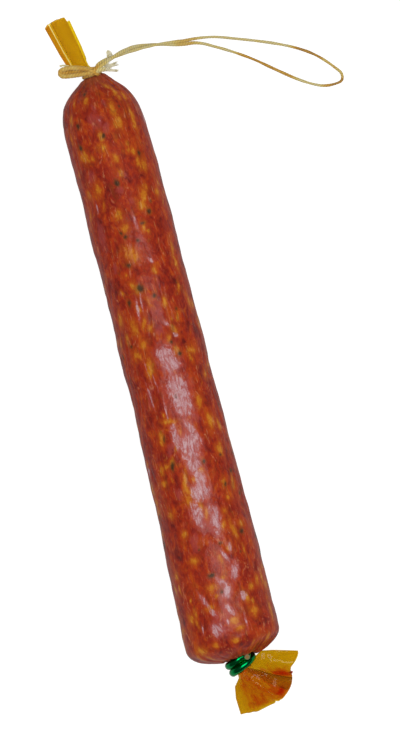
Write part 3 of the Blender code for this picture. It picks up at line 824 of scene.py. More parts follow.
    # Where the film has come away; the material paints the strip light's sheen there.
    lifted = (
        (1.5, 3.5, 8.5, 9, 0), (3.2, -1.2, 7.5, 8, 0), (2.6, -13, 9.6, 11, 0), (3, -20, 10, 12, 0),
        (4, -25, 8, 7, 0), (-4.2, -37.5, 3.4, 13, 0), (5, -37, 3.2, 14, -22), (0.8, -46, 7.6, 13, -8),
        (3.2, -43.5, 6, 10, -10), (1.5, -52.5, 6, 8, 0), (3.2, -60, 4.6, 8.5, -8), (1.4, -67.5, 8, 8.6, 0),
        (-2.9, -78, 5, 12.5, -5), (5.2, -82, 5, 15, -4), (9.2, -97.2, 1.7, 4.4, 0), (6, -101, 1.6, 8, -30),
        (8.8, -109.5, 3.6, 8, 15), (1.8, -114.5, 8, 2.6, 60), (3, -118.5, 4.6, 7, 35), (10.3, -122.3, 3.6, 4, 0),
        (-8.6, -121.5, 2, 9, -26), (-6, -127, 5.5, 2, 60), (2.5, -127.6, 7.4, 2.6, 65), (-5.8, -137, 5.6, 7, 0),
        (8.8, -135.5, 0.8, 11, 0), (0, -133.5, 1.4, 4, 0), (-13, -134.8, 0.8, 4.6, 0), (-6.9, 29, 1.4, 9.5, 5),
        (-4.2, 33, 1, 8, 5), (5.3, 19, 3.4, 2, 60), (8.6, 12.5, 2.6, 2.2, 60), (5.4, 52, 3, 1.4, 60),
        (-1.4, 126.3, 0.8, 2, -20),
        (-14.5, 84, 0.9, 5, 0), (-9.6, -3, 0.6, 12, -4), (-7.4, -7, 0.6, 10, -6),
        (-5.6, -22, 0.8, 12, 0), (-11.5, -14, 0.8, 12, -6), (2.6, 73, 1.4, 7, -6),
    )
    # Rose patches of lean meat; some stand where the film shows a faint sheen and paint it in.
    blush = (
        (-0.8, 89.8, 4.6, 5, 0), (3.6, 83, 3.2, 3.6, 0), (2.6, 62.5, 4.6, 9, 10), (0.5, 121.6, 4, 8, 24),
        (-5, 128, 5, 6, 0), (8.2, -30.5, 6.4, 4.8, 30), (-3.4, -137.6, 5.6, 6.6, 0), (3.6, 25.6, 4.6, 4.4, 30), (-3, 125, 7, 9, 20),
        (-2.8, 133, 2.4, 6, -20), (3.2, 134.5, 2.4, 6, -15),
        (0.9, 17, 5, 6, 0), (-8.4, -43, 3.8, 9, 10), (-8.8, -66, 4.6, 8, 12), (1.6, -85, 6, 10, 10),
        (3.5, -102, 9, 7, 0), (-11.5, -14, 3.6, 14, 12), (-15.5, 70, 5, 16, 0), (-7.4, -91, 5, 12, 10),
        (0, -130, 8, 8, 0), (-13, 100, 5, 7, 0), (2, 0, 8, 12, 6), (3, -42, 8, 16, 8),
    )

    def barrel_radius(self, y: Array) -> Array:
        """Radius between the shoulders: tied + (clipped - tied) share^power, plus two slow waves."""
        share = np.clip((self.swell_start - y) / (self.swell_start - self.clipped_end), 0, 1)
        wave = 0.22 * MM * (np.sin(y / (9 * MM)) + 0.6 * np.sin(y / (5.3 * MM) + 1))
        return self.tied_radius + (self.clipped_radius - self.tied_radius) * share**self.swell_power + wave

    def body_radius(self, y: Array) -> Array:
        """Radius with both shoulders: hypot(barrel * sqrt(1 - inward^roundness) at each end, neck)."""
        tied = np.clip(1 - np.maximum(0, self.tied_end - y) / self.tied_shoulder, 0, 1)
        clipped = np.clip(1 - np.maximum(0, y - self.clipped_end) / self.clipped_shoulder, 0, 1)
        ends = np.sqrt(1 - tied**self.tied_roundness) * np.sqrt(1 - clipped**self.clipped_roundness)
        return np.hypot(self.barrel_radius(y) * ends, self.tied_neck)

    def axis_height(self, y: Array) -> Array:
        """Height of the axis: the mean radius at y less the depth of the flat it rests on."""
        held = np.maximum(self.clipped_end + self.clipped_shoulder, y)
        share = np.clip((self.swell_start - held) / (self.swell_start - self.clipped_end), 0, 1)
        swell = (self.clipped_radius - self.tied_radius) * share**self.swell_power
        return self.tied_radius + swell - self.flat_depth

    def axis_offset(self, y: Array) -> Array:
        """Sideways place of the axis, bowed by the square of y."""
        return self.axis_x - self.bow * (y / self.tied_end) ** 2

    def profile(self) -> Array:
        """The outline from the tied neck to the clipped one.

        Returns:
            (radius, y) pairs, evenly spaced along the outline.
        """
        steps = np.linspace(0, 1, 1200)
        tied = self.tied_end - self.tied_shoulder * steps**2
        clipped = self.clipped_end + self.clipped_shoulder * steps[::-1] ** 2
        y = np.concatenate([tied, np.linspace(tied[-1], clipped[0], 2000)[1:-1], clipped])
        radius = self.body_radius(y)
        kept = (y > 0) | (radius > self.dimple_radius)
        radius, y = radius[kept], y[kept]
        inward = np.linspace(0, 1, 80)[1:]
        dimple_r = radius[-1] + (self.clipped_neck - radius[-1]) * inward
        dimple_y = y[-1] + self.dimple_depth * ease(inward) - 0.4 * MM * np.sin(math.pi * inward)
        tip = np.linspace(self.clipped_bend, self.clipped_end - self.clipped_neck_length, 20)
        neck = np.linspace(self.tied_end + self.tied_neck_length, self.tied_end, 8)[:-1]
        outline = np.stack([
            np.concatenate([np.full(len(neck), self.tied_neck), radius, dimple_r, np.full(len(tip), self.clipped_neck)]),
            np.concatenate([neck, y, dimple_y, tip]),
        ], axis=1)
        return resample(outline, self.rows)

    def relief(self, y: Array, around: Array, radius: Array, rng: np.random.Generator) -> tuple[Array, Array]:
        """How far the film stands off the plain shape.

        It is the sum of slow lumps, lengthwise creases, fine puckers and, near each neck, folds
        that keep their place round the axis and so run together into the neck.

        Args:
            y: Place along the axis, in metres.
            around: Place round the axis, in turns.
            radius: Plain radius there, in metres.
            rng: Where the random fields come from.

        Returns:
            Heights in metres, and how deep in the creases each point lies, 0 to 1.
        """
        along = (self.tied_end + 0.01 - y) / 0.33
        swayed = around + 0.012 * np.sin(y / (31 * MM)) + 0.006 * np.sin(y / (11 * MM))
        lumps = lattice_noise(rng, 18, 8, along, swayed) - 0.5
        knobs = lattice_noise(rng, 60, 26, along, swayed) - 0.5
        wander = 0.012 * (lattice_noise(rng, 34, 12, along, swayed) - 0.5)
        wide = creases(lattice_noise(rng, 15, 34, along, swayed + wander), 9.0)
        narrow = creases(lattice_noise(rng, 34, 70, along, swayed + wander), 5.0)
        strength = ease(1.6 * lattice_noise(rng, 20, 9, along, swayed))
        puckers = lattice_noise(rng, 110, 96, along, swayed) - 0.5
        near_tie = 1 - ease((self.tied_end - y) / (0.8 * self.tied_shoulder))
        near_clip = 1 - ease((y - self.clipped_end) / (1.5 * self.clipped_shoulder))
        tie_folds = creases(lattice_noise(rng, 3, 21, along, around), 3.0)
        clip_folds = creases(lattice_noise(rng, 3, 30, along, around), 2.5)
        free = ease((radius - self.clipped_neck) / self.clipped_neck)
        height = 0.55 * lumps + 0.3 * knobs + 0.12 * puckers - strength * (0.3 * wide + 0.1 * narrow)
        height = height - near_tie * 0.9 * tie_folds - near_clip * 0.7 * clip_folds
        depth = strength * np.maximum(wide, 0.6 * narrow) + 0.7 * near_tie * tie_folds + near_clip * clip_folds
        return height * MM * free, np.clip(depth, 0, 1)

    def spot_field(self, spots: Array, y: Array, around: Array) -> Array:
        """How near each point is to the middle of the nearest spot.

        A spot is an ellipse laid on the surface, and the field is 1 less the distance from its
        middle in units of its half width and half length, turned by its lean.

        Args:
            spots: (turns round the axis, y, width, length, lean) rows, in metres and radians.
            y: Place along the axis of each row of points, (rows, 1).
            around: Place round the axis of each column of points, (1, sides).

        Returns:
            The field over the grid, from -1 to 1.
        """
        field = np.full((y.shape[0], around.shape[1]), -1.0)
        girth = TURN * self.barrel_radius(y)
        for turn, middle, width, length, lean in spots:
            rows = np.flatnonzero(np.abs(y[:, 0] - middle) < width + length)
            across = (np.mod(around - turn + 0.5, 1.0) - 0.5) * girth[rows]
            forward = y[rows] - middle
            side = across * math.cos(lean) - forward * math.sin(lean)
            front = across * math.sin(lean) + forward * math.cos(lean)
            near = 1 - np.hypot(side / (width / 2), front / (length / 2))
            field[rows] = np.maximum(field[rows], near)
        return field

    def laid(self, spots: tuple[tuple[float, ...], ...], spread: float = 1.0) -> Array:
        """Spots seen from above, spread times as large, as (turns, y, width, length, lean) rows."""
        scales = np.array([MM, MM, spread * MM, spread * MM, TURN / 360])
        across, y, width, length, lean = np.array(spots).T * scales[:, None]
        share = np.clip(across / self.body_radius(y), -0.97, 0.97)
        return np.stack([(math.pi / 2 - np.arcsin(share)) / TURN, y, width, length, -lean], axis=1)

    def scattered(self, count: int, size: tuple[float, float], seen: float, rng: np.random.Generator) -> Array:
        """Random spots over the casing, thinned out where spots are listed.

        Args:
            count: How many to draw.
            size: Least and greatest width, in millimetres.
            seen: Share of those on the upper side that are kept.
            rng: Where they come from.

        Returns:
            Rows of (turns round the axis, y, width, length, lean).
        """
        turn = rng.random(count)
        y = rng.uniform(self.clipped_end + 4 * MM, self.tied_end - 6 * MM, count)
        width = rng.uniform(*size, count) * MM
        length = width * rng.uniform(1.0, 2.0, count)
        lean = rng.uniform(-0.5, 0.5, count)
        upper = (turn > 0.06) & (turn < 0.44)
        kept = ~upper | (rng.random(count) < seen)
        width = np.where(upper, 0.6 * width, width)
        return np.stack([turn, y, width, length, lean], axis=1)[kept]

    def build(self) -> bpy.types.Object:
        """Builds the filled casing and dresses it.

        Returns:
            The piece that stands for the CAD body.
        """
        rng = np.random.default_rng(self.seed)
        outline = self.profile()
        radius, y = outline[:, :1], outline[:, 1:]
        around = (np.arange(self.sides)[None] / self.sides) - 0.25
        height, depth = self.relief(y + 0 * around, around + 0 * y, radius + 0 * around, rng)
        slope = np.gradient(outline, axis=0)
        slope = slope / np.linalg.norm(slope, axis=1, keepdims=True)
        out_r, out_y = -slope[:, 1:], slope[:, :1]
        places, sideways, outwards = np.array(self.strays).T * MM
        free = ease((radius - self.clipped_neck) / self.clipped_neck)
        r = radius + height * out_r + free * np.interp(y, places, outwards)
        line = y + height * out_y
        across, rise = r * np.cos(TURN * around), r * np.sin(TURN * around)
        near_clip = 1 - ease((y - self.clipped_end) / (2.5 * self.clipped_shoulder))
        slant = free * near_clip * (self.clipped_skew * across + self.clipped_tilt * rise)
        near_tie = ease((y - self.tied_end + 0.3 * self.tied_shoulder) / (0.3 * self.tied_shoulder))
        beside = np.exp(-(((across - 6.5 * MM) / (4.5 * MM)) ** 2)) * ease((rise + 8 * MM) / (10 * MM))
        slant = slant + self.shoulder_bulge * near_tie * beside
        drift = math.tan(self.clip_lean) * np.maximum(0.0, self.clipped_bend - y)
        x = self.axis_offset(y) + np.interp(y, places, sideways) + across + drift
        z = np.maximum(self.axis_height(y) + rise, 0.0)
        grid = np.stack([x, line + slant, z], axis=-1)[None]
        poles = grid[:, [0, -1]].mean(axis=2)
        mesh = tube_skin(grid, poles, TURN * 23 * MM).mesh("cased_meat")
        fields = {
            "fat": np.vstack([self.laid(self.fat, 1.4), self.scattered(320, (2.4, 6.4), 0.5, rng)]),
            "pepper": np.vstack([self.laid(self.pepper, 1.3), self.scattered(120, (1.4, 3.2), 0.12, rng)]),
            "lifted": np.vstack([self.laid(self.lifted, 1.15), self.scattered(30, (1.5, 4.0), 0.0, rng)]),
            "blush": np.vstack([self.laid(self.blush), self.scattered(60, (3.0, 9.0), 0.3, rng)]),
        }
        for name, spots in fields.items():
            values = self.spot_field(spots, y, around)
            give_values(mesh, name, np.concatenate([values.ravel(), [-1.0, -1.0]]))
        # Crease depth, which the material turns into painted shade.
        give_values(mesh, "crease", np.concatenate([depth.ravel(), [1.0, 1.0]]))
        gathered = ease((y - self.tied_end + 6 * MM) / (5 * MM)) + 0 * around
        give_values(mesh, "gathered", np.concatenate([gathered.ravel(), [1.0, 0.0]]))
        return add_piece("cased_meat", mesh, CuredMeatFinish().material(), ("sausage_body",))


# ---------------------------------------------------------------- the casing's tails


@dataclass
class TiedTail:
    """The empty casing past the twine: folded lengthwise into a flat bundle and cut off in steps.

    The section is one closed line of film, (across, up, tint), the first two in shares of the
    bundle's width and thickness. It is a flattened tube with one pleat, so its left edge and its
    right band are two walls deep and its middle is four.
    """

    neck_height: float
    rows: int = 90
    sides: int = 220
    wall: float = 0.12 * MM
    route = ((-3.4, 152.8, 0.0), (-6.2, 155.4, 0.1), (-8.6, 158.4, 0.3), (-9.7, 163.0, 0.2), (-14.1, 181.8, -1.6))
    marks = (0.0, 0.1, 0.2, 0.5, 1.0)
    widths = (5.0, 6.4, 10.2, 12.0, 13.2)
    thicknesses = (5.0, 5.0, 4.6, 4.2, 3.8)
    # Tint 0 at -0.305 and -0.285 across, on both walls, paints a pale highlight line along the left fold's ridge.
    section = (
        (-0.50, 0.00, 2.4), (-0.47, 0.22, 2.3), (-0.39, 0.36, 2.2), (-0.33, 0.42, 2.0), (-0.305, 0.43, 0.0),
        (-0.285, 0.43, 0.0), (-0.26, 0.43, 1.8), (-0.14, 0.38, 1.7), (0.0, 0.40, 1.7), (0.13, 0.37, 1.5),
        (0.34, 0.38, 1.3), (0.385, 0.28, 1.2), (0.24, 0.18, 0.1), (0.05, 0.16, 0.1), (-0.12, 0.14, 0.1),
        (-0.20, 0.06, 0.1), (-0.14, -0.02, 0.1), (0.05, -0.02, 0.1), (0.25, 0.02, 0.3), (0.42, 0.06, 1.0),
        (0.50, -0.04, 1.0), (0.44, -0.20, 1.0), (0.30, -0.26, 1.1), (0.10, -0.30, 1.2), (-0.25, -0.30, 1.6),
        (-0.285, -0.30, 0.0), (-0.305, -0.29, 0.0), (-0.34, -0.28, 2.0), (-0.42, -0.22, 2.2),
    )
    cut_places = (-0.5, -0.42, -0.35, 0.0, 0.37, 0.39, 0.5)
    cut_steps = (0.4, 0.9, 1.25, 1.6, 0.85, -1.6, -1.5)

    def build(self) -> bpy.types.Object:
        """Builds the folded tail and dresses it.

        Returns:
            The piece that stands for the CAD tail.
        """
        knots = np.array(self.route) * MM + self.neck_height * UP
        path = smooth_route(knots, self.rows)
        share = np.linspace(0, 1, self.rows)
        width = np.interp(share, self.marks, self.widths) * MM
        thickness = np.interp(share, self.marks, self.thicknesses) * MM
        forward = unit(np.gradient(path, axis=0))
        side = unit(np.cross(forward, UP))
        rise = np.cross(side, forward)
        section = closed_route(np.array(self.section), self.sides)
        across, up, tint = section.T
        cut = np.interp(across, self.cut_places, self.cut_steps) + 0.08 * np.sin(31 * across) + 0.1 * np.sign(up)
        cut = cut * MM * ease((share[:, None] - 0.55) / 0.45)
        middle = (
            path[:, None]
            + side[:, None] * (width[:, None] * across)[..., None]
            + rise[:, None] * (thickness[:, None] * up)[..., None]
            + forward[:, None] * cut[..., None]
        )
        mesh = film_skin(middle, self.wall).mesh("tied_tail")
        give_values(mesh, "tint", np.tile(tint, (2, self.rows, 1)))
        return add_piece(
            "tied_tail", mesh, CasingFilmFinish("amber_collagen_film_folded").material(),
            ("casing_tail_top",),
        )


@dataclass
class ClippedTail:
    """The empty casing past the clip: crumpled open into a fan with an uneven cut edge.

    A point's share runs from the clip to the cut edge, and its place runs from the fan's left edge
    to its right. The front at each share is the quadratic through its left edge, middle and right
    edge. The section is one closed line of film, (place, height, tint), heights in millimetres.
    Stains are (place, share, half width, half length, added tint). Smears are (place, share) from and to, half width as a place, thickness in millimetres and
    how dry and lean they are, 0 to 1.
    """

    neck_height: float
    rows: int = 110
    sides: int = 260
    wall: float = 0.12 * MM
    opening: float = 0.35
    droop: float = 5.0 * MM
    left_edge = ((-4.7, -160.9), (-4.9, -164.8), (-7.9, -168.8), (-8.9, -175.1), (-8.5, -184.4))
    middle_line = ((-1.2, -160.8), (-0.5, -164.4), (3.6, -169.6), (8.2, -175.0), (14.0, -180.6))
    right_edge = ((2.6, -159.4), (6.0, -156.0), (9.3, -154.0), (15.0, -155.2), (27.2, -158.8))
    section = (
        (0.0, 0.0, 1.4), (0.05, 0.7, 1.3), (0.11, 1.3, 1.4), (0.17, 1.5, 2.0), (0.30, 1.4, 2.0), (0.44, 1.7, 2.0),
        (0.56, 1.5, 2.0), (0.66, 1.7, 2.0), (0.74, 1.4, 1.0), (0.69, 1.0, 0.0), (0.62, 0.8, 0.0), (0.64, 0.5, 0.0),
        (0.74, 0.7, 0.9), (0.88, 1.0, 1.1), (0.96, 0.6, 1.1), (1.0, 0.0, 1.1), (0.94, -0.6, 1.1),
        (0.75, -1.0, 1.2), (0.5, -1.3, 2.0), (0.25, -1.1, 1.8), (0.06, -0.7, 1.1),
    )
    cut_places = (0.0, 0.05, 0.12, 0.24, 0.38, 0.43, 0.45, 0.5, 0.56, 0.63, 0.76, 0.86, 1.0)
    cut_shares = (1.0, 0.97, 0.94, 0.95, 0.98, 0.94, 0.99, 0.98, 1.04, 1.02, 1.0, 0.95, 1.0)
    smears = (
        (0.80, 0.95, 0.81, 1.05, 0.015, 0.24, 1.0), (0.19, 0.80, 0.195, 0.84, 0.008, 0.2, 1.0),
    )
    stains = ((0.78, 0.92, 0.04, 0.12, 2.0), (0.76, 0.78, 0.03, 0.1, 1.2), (0.59, 0.88, 0.045, 0.035, 1.4),
              (0.3, 1.0, 0.16, 0.06, -1.3))

    def fan(self, place: Array, share: Array, lift: Array) -> Array:
        """Points of the open fan.

        Args:
            place: From the left edge, 0, to the right one, 1.
            share: From the clip, 0, to the cut edge, 1.
            lift: Height above the fan's middle, in metres.

        Returns:
            The points, in metres.
        """
        marks = np.linspace(0, 1, len(self.middle_line))
        lines = [np.array(line) * MM for line in (self.left_edge, self.middle_line, self.right_edge)]
        left, middle, right = (
            np.stack([np.interp(share, marks, line[:, k]) for k in (0, 1)], axis=-1) for line in lines
        )
        weights = [2 * (place - 0.5) * (place - 1), 4 * place * (1 - place), 2 * place * (place - 0.5)]
        plan = sum(weight[..., None] * line for weight, line in zip(weights, (left, middle, right)))
        opened = ease(share / self.opening)
        radius = np.linalg.norm(right - left, axis=-1) / 2
        gathered = radius * np.sqrt(np.clip(1 - (2 * place - 1) ** 2, 0, 1)) * lift / (1.5 * MM)
        ripple = 1.5 * MM * share * np.sin(15 * place + 0.5)
        height = gathered + (lift - gathered) * opened + ripple - self.droop * share**1.5
        scallop = 0.8 * MM * share**3
        x = plan[..., 0] + scallop * np.sin(21 * place)
        y = plan[..., 1] + scallop * np.cos(17 * place)
        return np.stack([x, y, self.neck_height + height], axis=-1)

    def smear(self, spec: tuple[float, ...], rng: np.random.Generator) -> Skin:
        """One flat smear between the walls of the fan, uneven in outline and thickness."""
        place_from, share_from, place_to, share_to, half, thick, _ = spec
        t = np.linspace(0, 1, 60)[:, None]
        turn = np.arange(48)[None] / 48
        full = np.sin(math.pi * (0.04 + 0.92 * t)) ** 0.45
        uneven = 0.7 + 0.6 * lattice_noise(rng, 10, 9, t + 0 * turn, turn + 0 * t)
        lumpy = 0.3 + 1.4 * lattice_noise(rng, 22, 16, t + 0 * turn, turn + 0 * t)
        place = place_from + (place_to - place_from) * t + half * full * uneven * np.cos(TURN * turn)
        share = share_from + (share_to - share_from) * t + 0 * turn
        lift = (0.15 + thick * full * lumpy * np.sin(TURN * turn)) * MM
        grid = self.fan(place, share, lift)[None]
        return tube_skin(grid, grid[:, [0, -1]].mean(axis=2), 10 * MM)

    def build(self) -> list[bpy.types.Object]:
        """Builds the fan and the smears inside it, and dresses them.

        Returns:
            The two pieces; the fan stands for the CAD tail.
        """
        rng = np.random.default_rng(5)
        place, lift, tint = closed_route(np.array(self.section), self.sides).T
        turn = np.arange(self.sides) / self.sides
        share = np.linspace(0, 1, self.rows)[:, None] + 0 * place
        crumple = lattice_noise(rng, 6, 14, share, turn + 0 * share) - 0.5
        fine = lattice_noise(rng, 14, 40, share, turn + 0 * share) - 0.5
        worn = np.interp(place, self.cut_places, self.cut_shares)
        trimmed = share * (worn - 0.015 * fine * share)
        middle = self.fan(place + 0 * share, trimmed, lift * MM + 0 * share)
        middle[..., 2] += (1.2 * crumple + 0.4 * fine) * MM * ease(share / self.opening)
        mesh = film_skin(middle, self.wall).mesh("clipped_tail")
        mottle = lattice_noise(rng, 26, 60, share, place + 0 * share) + lattice_noise(rng, 9, 16, share, place + 0 * share)
        right_side = 0.70 + 0.14 * ease((share - 0.3) / 0.4)
        greased = ease((place - 0.02) / 0.08) * (1 - ease((place - right_side) / 0.06)) * ease((1.02 - share) / 0.1)
        under = greased * (lift < 0) * (0.25 + 1.3 * ease(mottle - 0.5))
        for middle_place, middle_share, wide, long, strength in self.stains:
            away = ((place - middle_place) / wide) ** 2 + ((share - middle_share) / long) ** 2
            under = under + strength * np.exp(-away)
        give_values(mesh, "tint", np.tile(tint + under, (2, 1, 1)))
        finish = CasingFilmFinish("amber_collagen_film_crumpled", "#F2DFA0", "#D6BA2C", "#D2A032", "#CA7020")
        fan = add_piece("clipped_tail", mesh, finish.material(), ("casing_tail_bottom",))
        skins = [self.smear(spec, rng) for spec in self.smears]
        mesh = merged(skins).mesh("meat_residue")
        give_values(mesh, "lean", np.concatenate([
            np.full(len(skin.points), spec[-1]) for skin, spec in zip(skins, self.smears)]))
        return [fan, add_piece("meat_residue", mesh, ResidueFinish().material())]


# ---------------------------------------------------------------- the clip


@dataclass
class WireClip:
    """One thick soft wire bent about one and a half times round the clipped neck.

    Its first sheared end stands up, pinched thinner by the shears; standing holds that end's points
    as (height above the turn, shift along the axis) in millimetres.
    """

    neck_height: float
    wire: float = 3.9 * MM
    radius: float = 6.2 * MM
    pitch: float = 4.05 * MM
    lean: float = math.radians(18)
    start: float = math.radians(44)
    sweep_angle: float = math.radians(573)
    centre: tuple[float, float] = (-1.8 * MM, -157.2 * MM)
    standing = ((5.2, 1.6), (3.9, 1.3), (2.4, 0.8))
    pinch: float = 0.28
    rows: int = 220
    sides: int = 32

    def build(self) -> bpy.types.Object:
        """Builds the wire with rounded rims at its sheared ends, and dresses it.

        Returns:
            The piece that stands for the CAD clip.
        """
        axis = np.array([math.sin(self.lean), -math.cos(self.lean), 0.0])
        across = np.array([math.cos(self.lean), math.sin(self.lean), 0.0])
        centre = np.array([*self.centre, self.neck_height])
        angles = self.start + self.sweep_angle * np.linspace(0, 1, self.rows)
        ring = helix(centre, axis, across, self.radius, self.pitch, angles)
        risen, drifted = (np.array(column)[:, None] * MM for column in zip(*self.standing))
        path = smooth_route(np.vstack([ring[0] + risen * UP + drifted * axis, ring[14::6]]), self.rows)
        run = lengths_along(path)
        edge = np.minimum(run, run[-1] - run)
        rim = 0.25 * MM
        rounded = np.sqrt(np.clip(1 - (1 - np.clip(edge / rim, 0, 1)) ** 2, 0, 1))
        pinched = self.pinch * (1 - np.clip(run / self.wire, 0, 1)) ** 2
        thickness = (self.wire / 2 + 0.12 * MM) * (1 - pinched) - rim * (1 - rounded)
        rings = np.repeat(thickness[:, None], self.sides, axis=1)
        body = sweep(path, rings, axis)
        inward = np.array([0.85, 0.55, 0.25])
        starts = np.stack([path[0] + (body[0] - path[0]) * share for share in inward[::-1]])
        ends = np.stack([path[-1] + (body[-1] - path[-1]) * share for share in inward])
        grid = np.concatenate([starts, body, ends])[None]
        mesh = tube_skin(grid, np.stack([path[0], path[-1]])[None], math.pi * self.wire).mesh("wire_clip")
        bare = np.concatenate([[1.0, 1.0, 0.7], np.where(edge < 0.05 * MM, 0.6, 0.0), [0.7, 1.0, 1.0]])
        give_values(mesh, "bare", np.concatenate([np.repeat(bare, self.sides), [1, 1]]))
        return add_piece("wire_clip", mesh, AnodisedWireFinish().material(), ("clip_wire",))


# ---------------------------------------------------------------- the twine


@dataclass
class Yarn:
    """Three plies laid up into one round twine: r = thick (0.8 + 0.2 |cos 1.5 (a - turn)|)."""

    thick: float
    pitch: float
    sides: int = 18
    plies: int = 3

    def grid(self, path: Array, reference: Array = UP, swell: Array | None = None) -> tuple[Array, Array]:
        """Lays the yarn along a path.

        Args:
            path: Points closely spaced along its middle.
            reference: The direction that its section is turned to.
            swell: How much thicker than plain it is at each point, or None.

        Returns:
            The grid of points, and how far up on a ply each stands, 0 to 1.
        """
        run = lengths_along(path)[:, None]
        angle = TURN * np.arange(self.sides)[None] / self.sides
        crown = np.abs(np.cos(self.plies / 2 * (angle - TURN * run / self.pitch)))
        radius = self.thick / 2 * (0.74 + 0.28 * crown**0.7)
        if swell is not None:
            radius = radius * swell[:, None]
        return sweep(path, radius, reference), crown


def fibre_paths(roots: Array, directions: Array, lengths: Array, curl: float, rng: np.random.Generator) -> Array:
    """Loose fibres that wander as they leave their roots.

    The path of each is root + direction * s + a random sideways drift that grows as s squared.

    Args:
        roots: Where each fibre starts, (fibres, 3).
        directions: The way it leaves, (fibres, 3).
        lengths: Its length, (fibres,).
        curl: Sideways drift at its tip, as a share of its length.
        rng: Where the drift comes from.

    Returns:
        Points of each fibre, (fibres, 9, 3).
    """
    s = np.linspace(0, 1, 9)[None, :, None]
    drift, wave = rng.normal(size=(2, len(roots), 1, 3))
    path = directions[:, None] * s + curl * drift * s**2 + 0.35 * curl * wave * np.sin(5 * s) * s
    return roots[:, None] + path * lengths[:, None, None]


def fibre_skin(paths: Array, thickness: float) -> Skin:
    """Four-sided fibres that taper to a point at both ends, along many paths at once."""
    taper = np.sin(np.linspace(0.25, math.pi - 0.1, paths.shape[1]))
    radius = np.broadcast_to((thickness / 2 * taper)[None, :, None], (len(paths), paths.shape[1], 4))
    tilted = unit(np.array([0.31, 0.17, 0.93]))
    return tube_skin(sweep(paths, radius, tilted), paths[:, [0, -1]], 4 * thickness)


@dataclass
class HangingLoop:
    """The loop to hang the sausage by: a stem of two strands, and the open bight past it."""

    yarn: float = 1.5 * MM
    spacing: float = 1.7 * MM
    twist_length: float = 56 * MM
    stem_points: int = 22
    bight_points: int = 36
    rows: int = 900
    stem_route = (
        (2.0, 155.1, 25.4), (5.4, 156.5, 24.2), (9.8, 157.9, 22.0), (14.6, 159.3, 18.8), (19.6, 160.4, 15.0),
        (25.1, 160.9, 11.0), (30.8, 160.9, 7.3), (36.5, 160.4, 4.4), (42.0, 159.6, 2.6), (47.1, 158.9, 1.9),
    )
    bight_route = (
        (54.7, 159.4, 1.2), (63.4, 157.9, 0.9), (72.5, 154.8, 0.9), (82.7, 151.1, 0.9), (93.4, 146.8, 0.9),
        (103.0, 142.1, 0.9), (111.2, 136.6, 0.9), (117.9, 129.9, 0.9), (122.3, 123.9, 0.9),
        (123.4, 121.7, 0.9), (121.7, 120.1, 0.9), (116.2, 119.2, 0.9), (109.7, 120.5, 0.9),
        (100.5, 125.7, 0.9), (89.8, 133.9, 0.9), (79.7, 142.0, 0.9), (69.5, 148.8, 0.9), (60.9, 153.7, 0.9),
        (54.2, 157.0, 1.2),
    )

    def strand(self, route: Array, side: int) -> Array:
        """One strand of the twisted stem.

        Its middle is route + side * spacing / 2 * (across cos t + up sin t), where t is a turn
        every twist length, counted back from the stem's far end.

        Args:
            route: The stem's middle line.
            side: -1 or 1, for the one strand or the other.

        Returns:
            The strand's points.
        """
        along = lengths_along(route)
        step = np.vstack([route[1:2], route[2:], route[-1:]]) - np.vstack([route[:1], route[:-2], route[-2:-1]])
        forward = unit(step)
        across = unit(np.cross(forward, UP))
        rise = np.cross(across, forward)
        turn = (TURN * (along - along[-1]) / self.twist_length)[:, None]
        lift = ease(2.5 * (1 - along / along[-1]))[:, None]
        return route + (across * np.cos(turn) + rise * np.sin(turn) * lift) * (side * self.spacing / 2)

    def path(self) -> Array:
        """The whole line of the loop, out along one strand of the stem and back along the other."""
        stem = smooth_route(np.array(self.stem_route) * MM, self.stem_points)
        outward, homeward = self.strand(stem, -1), self.strand(stem, 1)
        bight = np.vstack([outward[-1], np.array(self.bight_route) * MM, homeward[-1]])
        return np.vstack([outward[:-1], smooth_route(bight, self.bight_points), homeward[-2::-1]])

    def stain(self, x: Array, share: Array) -> Array:
        """How brown the twine is: amber by the knot, ochre where it parts, brown at the bight's tip."""
        knot = 0.35 * (1 - ease(x / (9 * MM)))
        parting = 0.45 * ease((x - 40 * MM) / (6 * MM)) * (1 - ease((x - 52 * MM) / (6 * MM)))
        onset = np.where(share < 0.5, 97 * MM, 108 * MM)
        tip = 0.95 * ease((x - onset) / (8 * MM)) * (1 - 0.6 * ease((x - 112 * MM) / (4 * MM)) * (share < 0.5))
        back = 0.7 * (share > 0.52) * ease((x - 68 * MM) / (8 * MM)) * (1 - ease((x - 96 * MM) / (5 * MM)))
        return knot + parting + np.maximum(tip, back) - 0.22

    def build(self) -> bpy.types.Object:
        """Returns:
            The piece that stands for the CAD tube.
        """
        line = self.path()
        path = smooth_route(line, self.rows)
        rng = np.random.default_rng(8)
        share = np.linspace(0, 1, self.rows)
        swell = 1.0 + 0.26 * (lattice_noise(rng, 60, 4, share, 0 * share) - 0.5)
        run = lengths_along(path)
        from_knot = np.minimum(run, run[-1] - run)
        swell = swell + 0.43 * (1 - ease((from_knot - 4 * MM) / (38 * MM)))
        swell = swell + 0.26 * np.exp(-(((path[:, 0] - 47 * MM) / (5 * MM)) ** 2))
        grid, crown = Yarn(self.yarn, 4.4 * MM).grid(path, UP, swell)
        mesh = tube_skin(grid[None], path[None, [0, -1]], math.pi * self.yarn).mesh("hanging_loop")
        stain = np.repeat(self.stain(path[:, 0], share)[:, None], crown.shape[1], axis=1)
        give_values(mesh, "stain", np.concatenate([stain.ravel(), [0, 0]]))
        give_values(mesh, "ply", np.concatenate([crown.ravel(), [0, 0]]))
        loop = add_piece("hanging_loop", mesh, TwineFinish("spun_twine_loop").material(), ("twine_loop",))
        return loop


